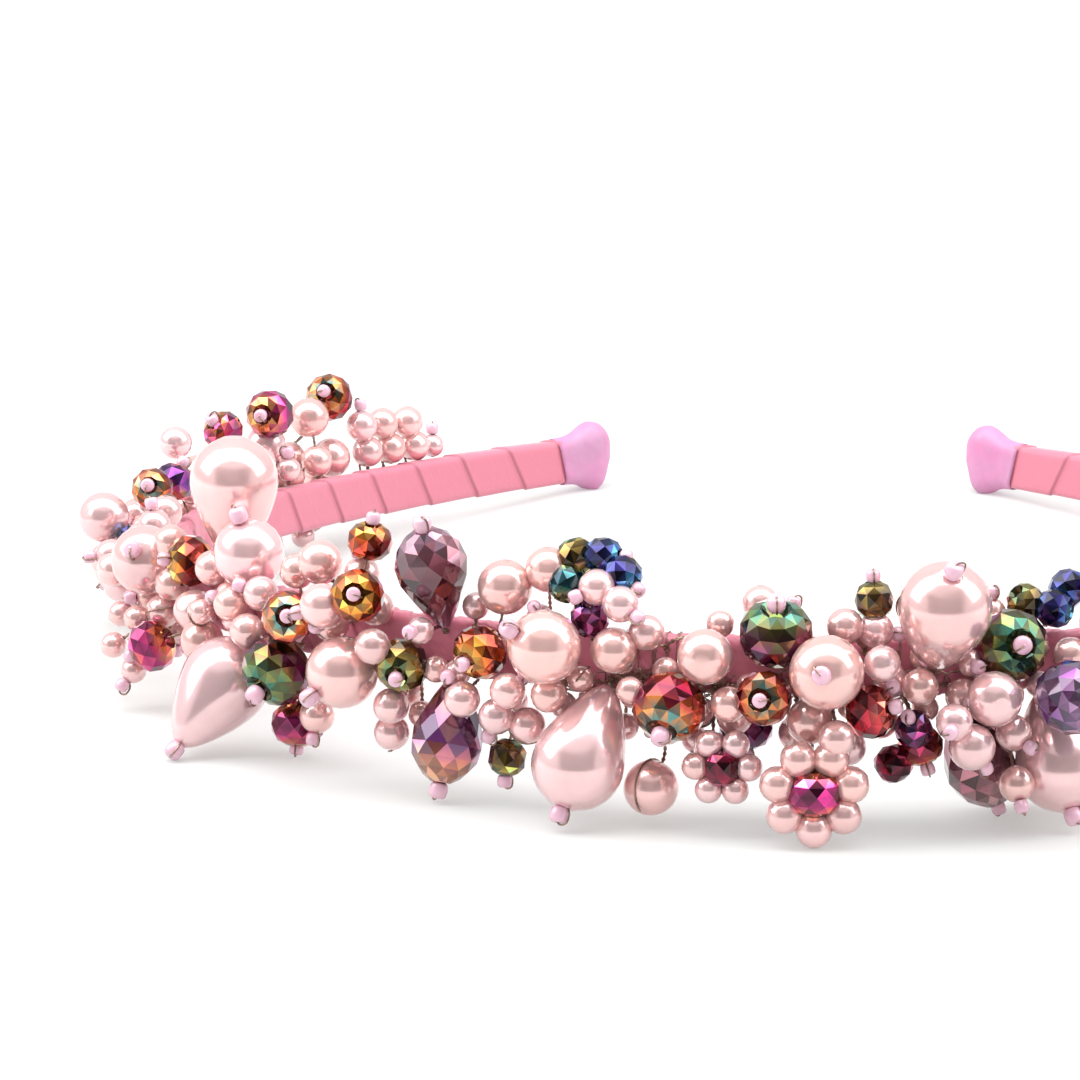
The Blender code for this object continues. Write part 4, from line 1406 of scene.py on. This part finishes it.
# Wire on the band: how far off its skin it runs, steps to a turn, and steps of each wire
LASHING_LIFT = 0.5 * MM
LASHING_AROUND = 24
LASHING_STEPS = (8, 16, 26)
# Tangled ends: the part of the way round where they start and stay, and steps of each
TANGLE_START = (0.54, 0.70)
TANGLE_LIMITS = (0.52, 0.74)
TANGLE_STEPS = (6, 9, 12)


def lashing():
    """Thin wire wound round the band beside the front stems, and tangled along its edge."""
    piece = Strung("lashing_wire", 3)
    sizes = bpy.context.scene.headband_sizes
    draw = piece.draw
    lowest, highest = TANGLE_LIMITS
    for along in LASHED:
        station = along / 100.0 * half_band()
        # Three wires of up to about a turn each, then nine short tangled ends
        for _ in range(3):
            share = draw.random()
            path = []
            for _ in range(draw.choice(LASHING_STEPS)):
                path.append(on_band(station, share, LASHING_LIFT))
                share += 1.0 / LASHING_AROUND
                station += sizes.lashing_pitch * draw.uniform(-0.6, 0.8) / 8.0
            piece.wire(path, 0.6 * sizes.strand_width)
        for _ in range(9):
            run = station + draw.uniform(-3.0, 1.0) * MM
            share = draw.uniform(*TANGLE_START)
            path = []
            for _ in range(draw.choice(TANGLE_STEPS)):
                path.append(on_band(run, share, draw.uniform(0.5, 0.9) * MM))
                run += draw.uniform(0.1, 0.7) * MM
                share = max(lowest, min(highest, share + draw.uniform(-0.04, 0.04)))
            piece.wire(path, 0.7 * sizes.strand_width)
    return piece.finished("wire")


# Filling pearls: their kinds, the commonest named more often, and the most tries to fit
# one piece's pearls
FILLERS = ("pearl_3", "pearl_4", "pearl_4", "pearl_4", "pearl_5")
MOST_TRIES = 9000
# Where the front ends, in hundredths of the half band from the middle
FRONT_END = 30.0
# Their height over the band's middle line, its mean and spread in millimetres
FRONT_RISE = (-1.8, 4.0)
SIDE_RISE = (0.0, 3.6)
# How far past the band's edge they may hang, below it at the front and elsewhere
FRONT_HANG = 4.0 * MM
OTHER_HANG = 2.2 * MM
# Room left over the surface, and how deep two may sink into each other
FLOOR_GAP = 0.4 * MM
FILLER_OVERLAP = 0.1 * MM


def filling(name, seed, low, high, count):
    """Small pearls fitted between the stones near the band, where there is room."""
    piece = Strung(name, seed)
    side = -1.0 if high <= 0.0 else 1.0
    front = max(abs(low), abs(high)) < FRONT_END
    edge = BAND_WIDTH / 2.0
    strung = 0
    for _ in range(MOST_TRIES):
        if strung == count:
            break
        kind = piece.draw.choice(FILLERS)
        radius = KINDS[kind].tip
        along = piece.draw.uniform(low, high)
        rise = piece.draw.gauss(*(FRONT_RISE if front else SIDE_RISE)) * MM
        if abs(rise) > edge + radius + (FRONT_HANG if front and rise < 0.0 else OTHER_HANG):
            continue
        out = piece.draw.uniform(0.0, 4.5) * MM + radius
        if abs(rise) > edge + radius:
            out = piece.draw.uniform(-1.0, 4.0) * MM
        stone = Stone(kind, 0.0, 10.0 * rise / BAND_WIDTH, 10.0 * out / STEM_REACH)
        centre = place(*centre_of(along, stone, 1.0))
        height = (SEATED @ centre).z
        if height - radius < FLOOR_GAP or height + radius > CAD_BOX[1][2]:
            continue
        if any((centre - other).length < radius + room - FILLER_OVERLAP
               for other, room in filled):
            continue
        string_spray(piece, abs(along), [stone], side)
        strung += 1
    return piece.finished("pearl")


# Operators

class HEADBAND_OT_wrap_band(bpy.types.Operator):
    """Wind the ribbon on the band"""

    bl_idname = "headband.wrap_band"
    bl_label = "Wrap Band"

    def execute(self, context):
        wrapped_band()
        return {"FINISHED"}


class HEADBAND_OT_fit_sleeves(bpy.types.Operator):
    """Fit the moulded sleeves on the two ends"""

    bl_idname = "headband.fit_sleeves"
    bl_label = "Fit Sleeves"

    def execute(self, context):
        fitted_sleeve("sleeve_left", "end_cap_left", -1.0)
        fitted_sleeve("sleeve_right", "end_cap_right", 1.0)
        return {"FINISHED"}


class HEADBAND_OT_string_front(bpy.types.Operator):
    """String the stones at the front of the crown"""

    bl_idname = "headband.string_front"
    bl_label = "String Front"

    def execute(self, context):
        for number, spray in enumerate(FRONT_SPRAYS):
            piece = Strung(spray.name + "_strung", 100 + number)
            string_spray(piece, spray.along, spray.stones, 1.0)
            piece.finished(slot_of(spray.stones), spray.name)
        return {"FINISHED"}


class HEADBAND_OT_string_sides(bpy.types.Operator):
    """String the stones from the temples to the arms, the same on both sides"""

    bl_idname = "headband.string_sides"
    bl_label = "String Sides"

    def execute(self, context):
        for ending, side in (("left", -1.0), ("right", 1.0)):
            for number, spray in enumerate(SIDE_SPRAYS):
                name = f"{spray.name}_{ending}"
                piece = Strung(name + "_strung", 200 + number)
                string_spray(piece, spray.along, spray.stones, side)
                piece.finished(slot_of(spray.stones), name)
        return {"FINISHED"}


class HEADBAND_OT_fine_stones(bpy.types.Operator):
    """String the finest pearls and crystals, each on its own stem"""

    bl_idname = "headband.fine_stones"
    bl_label = "String Fine Stones"

    def execute(self, context):
        rows = (("fine_stones_front", FINE_FRONT, 1.0), ("fine_stones_left", FINE_SIDE, -1.0),
                ("fine_stones_right", FINE_SIDE, 1.0))
        for number, (name, stones, side) in enumerate(rows):
            piece = Strung(name, 300 + number)
            for stone in stones:
                string_spray(piece, stone.along, [stone._replace(along=0.0)], side)
            piece.finished("pearl")
        return {"FINISHED"}


class HEADBAND_OT_fill_gaps(bpy.types.Operator):
    """Fit small pearls between the stones near the band"""

    bl_idname = "headband.fill_gaps"
    bl_label = "Fill Gaps"

    def execute(self, context):
        count = context.scene.headband_sizes.filling
        filling("filling_front_left", 401, -22.0, 0.0, count // 2)
        filling("filling_front_right", 402, 0.0, 22.0, count // 2)
        filling("filling_left", 403, -78.0, -22.0, count)
        filling("filling_right", 404, 22.0, 78.0, count)
        return {"FINISHED"}


class HEADBAND_OT_lash_wire(bpy.types.Operator):
    """Lash the stems to the band with thin wire"""

    bl_idname = "headband.lash_wire"
    bl_label = "Lash Wire"

    def execute(self, context):
        lashing()
        return {"FINISHED"}


def put_in(thing, matrix):
    """Link a lamp or a camera to the scene at a place."""
    thing.matrix_world = matrix
    bpy.context.scene.collection.objects.link(thing)


def photo_camera():
    """Camera at the photograph's viewing angle."""
    ahead = Vector((0.0, math.cos(CAMERA_ELEVATION), -math.sin(CAMERA_ELEVATION)))
    right = Vector((1.0, 0.0, 0.0))
    up = right.cross(ahead)
    half = PHOTO_SIZE / 2.0
    look = ahead * FOCAL_PIXELS + right * (half - PIVOT_PIXEL[0]) + up * (PIVOT_PIXEL[1] - half)
    data = bpy.data.cameras.new("photo_camera")
    data.sensor_width = SENSOR
    data.lens = FOCAL_PIXELS / PHOTO_SIZE * SENSOR
    data.clip_start, data.clip_end = CLIP
    camera = bpy.data.objects.new("photo_camera", data)
    put_in(camera, Matrix.Translation(PIVOT - ahead * CAMERA_DISTANCE)
           @ look.to_track_quat("-Z", "Y").to_matrix().to_4x4())
    bpy.context.scene.camera = camera


def soft_box(name, turn, power):
    """Rectangular lamp of the arch over the headband, at a turn from its right."""
    data = bpy.data.lights.new(name, "AREA")
    data.shape = "RECTANGLE"
    data.size, data.size_y = ARCH_BOX
    data.energy = power
    away = Vector((math.cos(turn), 0.0, math.sin(turn)))
    along = Vector((-math.sin(turn), 0.0, math.cos(turn)))
    spot = ARCH_CENTRE + ARCH_RADIUS * away
    back = (spot - ARCH_AIM).normalized()
    axes = Matrix((along, back.cross(along), back)).transposed()
    put_in(bpy.data.objects.new(name, data), Matrix.Translation(spot) @ axes.to_4x4())


def fill_light():
    """Broad weak lamp from behind the camera that leaves no highlight."""
    data = bpy.data.lights.new("fill_light", "AREA")
    data.size = FILL_SIZE
    data.energy = FILL_POWER
    lamp = bpy.data.objects.new("fill_light", data)
    lamp.visible_glossy = False
    put_in(lamp, Matrix.Translation(FILL_PLACE) @ aimed(FILL_PLACE.normalized()))


def studio_world():
    """White backdrop for the eye, and a softer, shaded surround for reflections."""
    world = bpy.data.worlds.new("studio")
    world.use_nodes = True
    made = Wiring(world.node_tree)
    seen = made.nodes["Background"]
    seen.inputs["Color"].default_value = (1.0, 1.0, 1.0, 1.0)
    seen.inputs["Strength"].default_value = 1.0
    where = made.add("TexCoord")
    split = made.add("SeparateXYZ", Vector=where.outputs["Generated"])
    wide = made.add("Math")
    wide.operation = "ABSOLUTE"
    made.feed(split.outputs["X"], wide.inputs[0])
    # The room behind the camera is dark, up to where the lamps hang
    shade = 1.0
    for source, (bright, dark) in ((split.outputs["Y"], SHADE_BACK),
                                   (split.outputs["Z"], SHADE_HIGH),
                                   (wide.outputs[0], SHADE_WIDE)):
        product = made.add("Math")
        product.operation = "MULTIPLY"
        made.feed(shade, product.inputs[0])
        made.feed(made.ranged(source, bright, dark, 0.0, 1.0, "SMOOTHSTEP"), product.inputs[1])
        shade = product.outputs[0]
    ramp = made.add("ValToRGB", Fac=shade)
    ramp.color_ramp.elements[0].color = (1.0, 1.0, 1.0, 1.0)
    ramp.color_ramp.elements[1].color = SURROUND_DARK
    lit = made.add("Background", Strength=SURROUND_STRENGTH, Color=ramp.outputs["Color"])
    chosen = made.add("MixShader")
    made.feed(made.add("LightPath").outputs["Is Camera Ray"], chosen.inputs[0])
    made.feed(lit.outputs["Background"], chosen.inputs[1])
    made.feed(seen.outputs["Background"], chosen.inputs[2])
    made.feed(chosen.outputs["Shader"], made.nodes["World Output"].inputs["Surface"])
    bpy.context.scene.world = world


def studio_floor():
    """Wide plain surface."""
    shape = bmesh.new()
    bmesh.ops.create_grid(shape, x_segments=1, y_segments=1, size=FLOOR_HALF)
    mesh = bpy.data.meshes.new("floor")
    shape.to_mesh(mesh)
    shape.free()
    made = Finish("studio_floor", Metallic=0.0, Roughness=0.6, Emission_Strength=1.0)
    made.to("Base Color", made.scaled(bpy.context.scene.headband_colours.floor,
                                      made.mottle(30.0, 0.995, 1.005)))
    # A little light of its own, more of it further out, keeps the far floor white
    away = made.add("VectorMath")
    away.operation = "LENGTH"
    made.feed(made.add("TexCoord").outputs["Object"], away.inputs[0])
    glow = made.ranged(away.outputs["Value"], *GLOW_REACH, *GLOW_LEVELS, "SMOOTHSTEP")
    made.to("Emission Color", made.scaled(GLOW_COLOUR, glow))
    mesh.materials.append(made.material)
    floor = bpy.data.objects.new("floor", mesh)
    bpy.context.scene.collection.objects.link(floor)


class HEADBAND_OT_set_stage(bpy.types.Operator):
    """Set the surface, the lights and the camera"""

    bl_idname = "headband.set_stage"
    bl_label = "Set Stage"

    def execute(self, context):
        context.scene.view_settings.view_transform = "Standard"
        photo_camera()
        studio_world()
        studio_floor()
        for number, power in enumerate(ARCH_POWERS):
            turn = math.radians(ARCH_FIRST_TURN + ARCH_NEXT_TURN * number)
            soft_box(f"arch_light_{number}", turn, power)
        fill_light()
        return {"FINISHED"}


class HEADBAND_PT_tools(bpy.types.Panel):
    """Buttons for each part of the headband"""

    bl_idname = "HEADBAND_PT_tools"
    bl_label = "Headband"
    bl_space_type = "VIEW_3D"
    bl_region_type = "UI"
    bl_category = "Headband"

    def draw(self, context):
        sizes = context.scene.headband_sizes
        colours = context.scene.headband_colours
        for name in HeadbandSizes.__annotations__:
            self.layout.prop(sizes, name)
        for name in HeadbandColours.__annotations__:
            self.layout.prop(colours, name)
        for operator in OPERATORS:
            self.layout.operator(operator.bl_idname)


OPERATORS = (
    HEADBAND_OT_set_stage,
    HEADBAND_OT_wrap_band,
    HEADBAND_OT_fit_sleeves,
    HEADBAND_OT_string_front,
    HEADBAND_OT_string_sides,
    HEADBAND_OT_fine_stones,
    HEADBAND_OT_fill_gaps,
    HEADBAND_OT_lash_wire,
)
CLASSES = (HeadbandSizes, HeadbandColours) + OPERATORS + (HEADBAND_PT_tools,)


def register():
    """Register the classes and the scene's settings."""
    for made in CLASSES:
        bpy.utils.register_class(made)
    bpy.types.Scene.headband_sizes = bpy.props.PointerProperty(type=HeadbandSizes)
    bpy.types.Scene.headband_colours = bpy.props.PointerProperty(type=HeadbandColours)


def unregister():
    """Take the settings and the classes away again."""
    del bpy.types.Scene.headband_colours
    del bpy.types.Scene.headband_sizes
    for made in reversed(CLASSES):
        bpy.utils.unregister_class(made)


def main():
    """Make every piece and the stage."""
    register()
    bpy.ops.headband.set_stage()
    bpy.ops.headband.wrap_band()
    bpy.ops.headband.fit_sleeves()
    bpy.ops.headband.string_front()
    bpy.ops.headband.string_sides()
    bpy.ops.headband.fine_stones()
    bpy.ops.headband.fill_gaps()
    bpy.ops.headband.lash_wire()
    for mesh in patterns.values():
        bpy.data.meshes.remove(mesh)


if __name__ == "__main__":
    main()
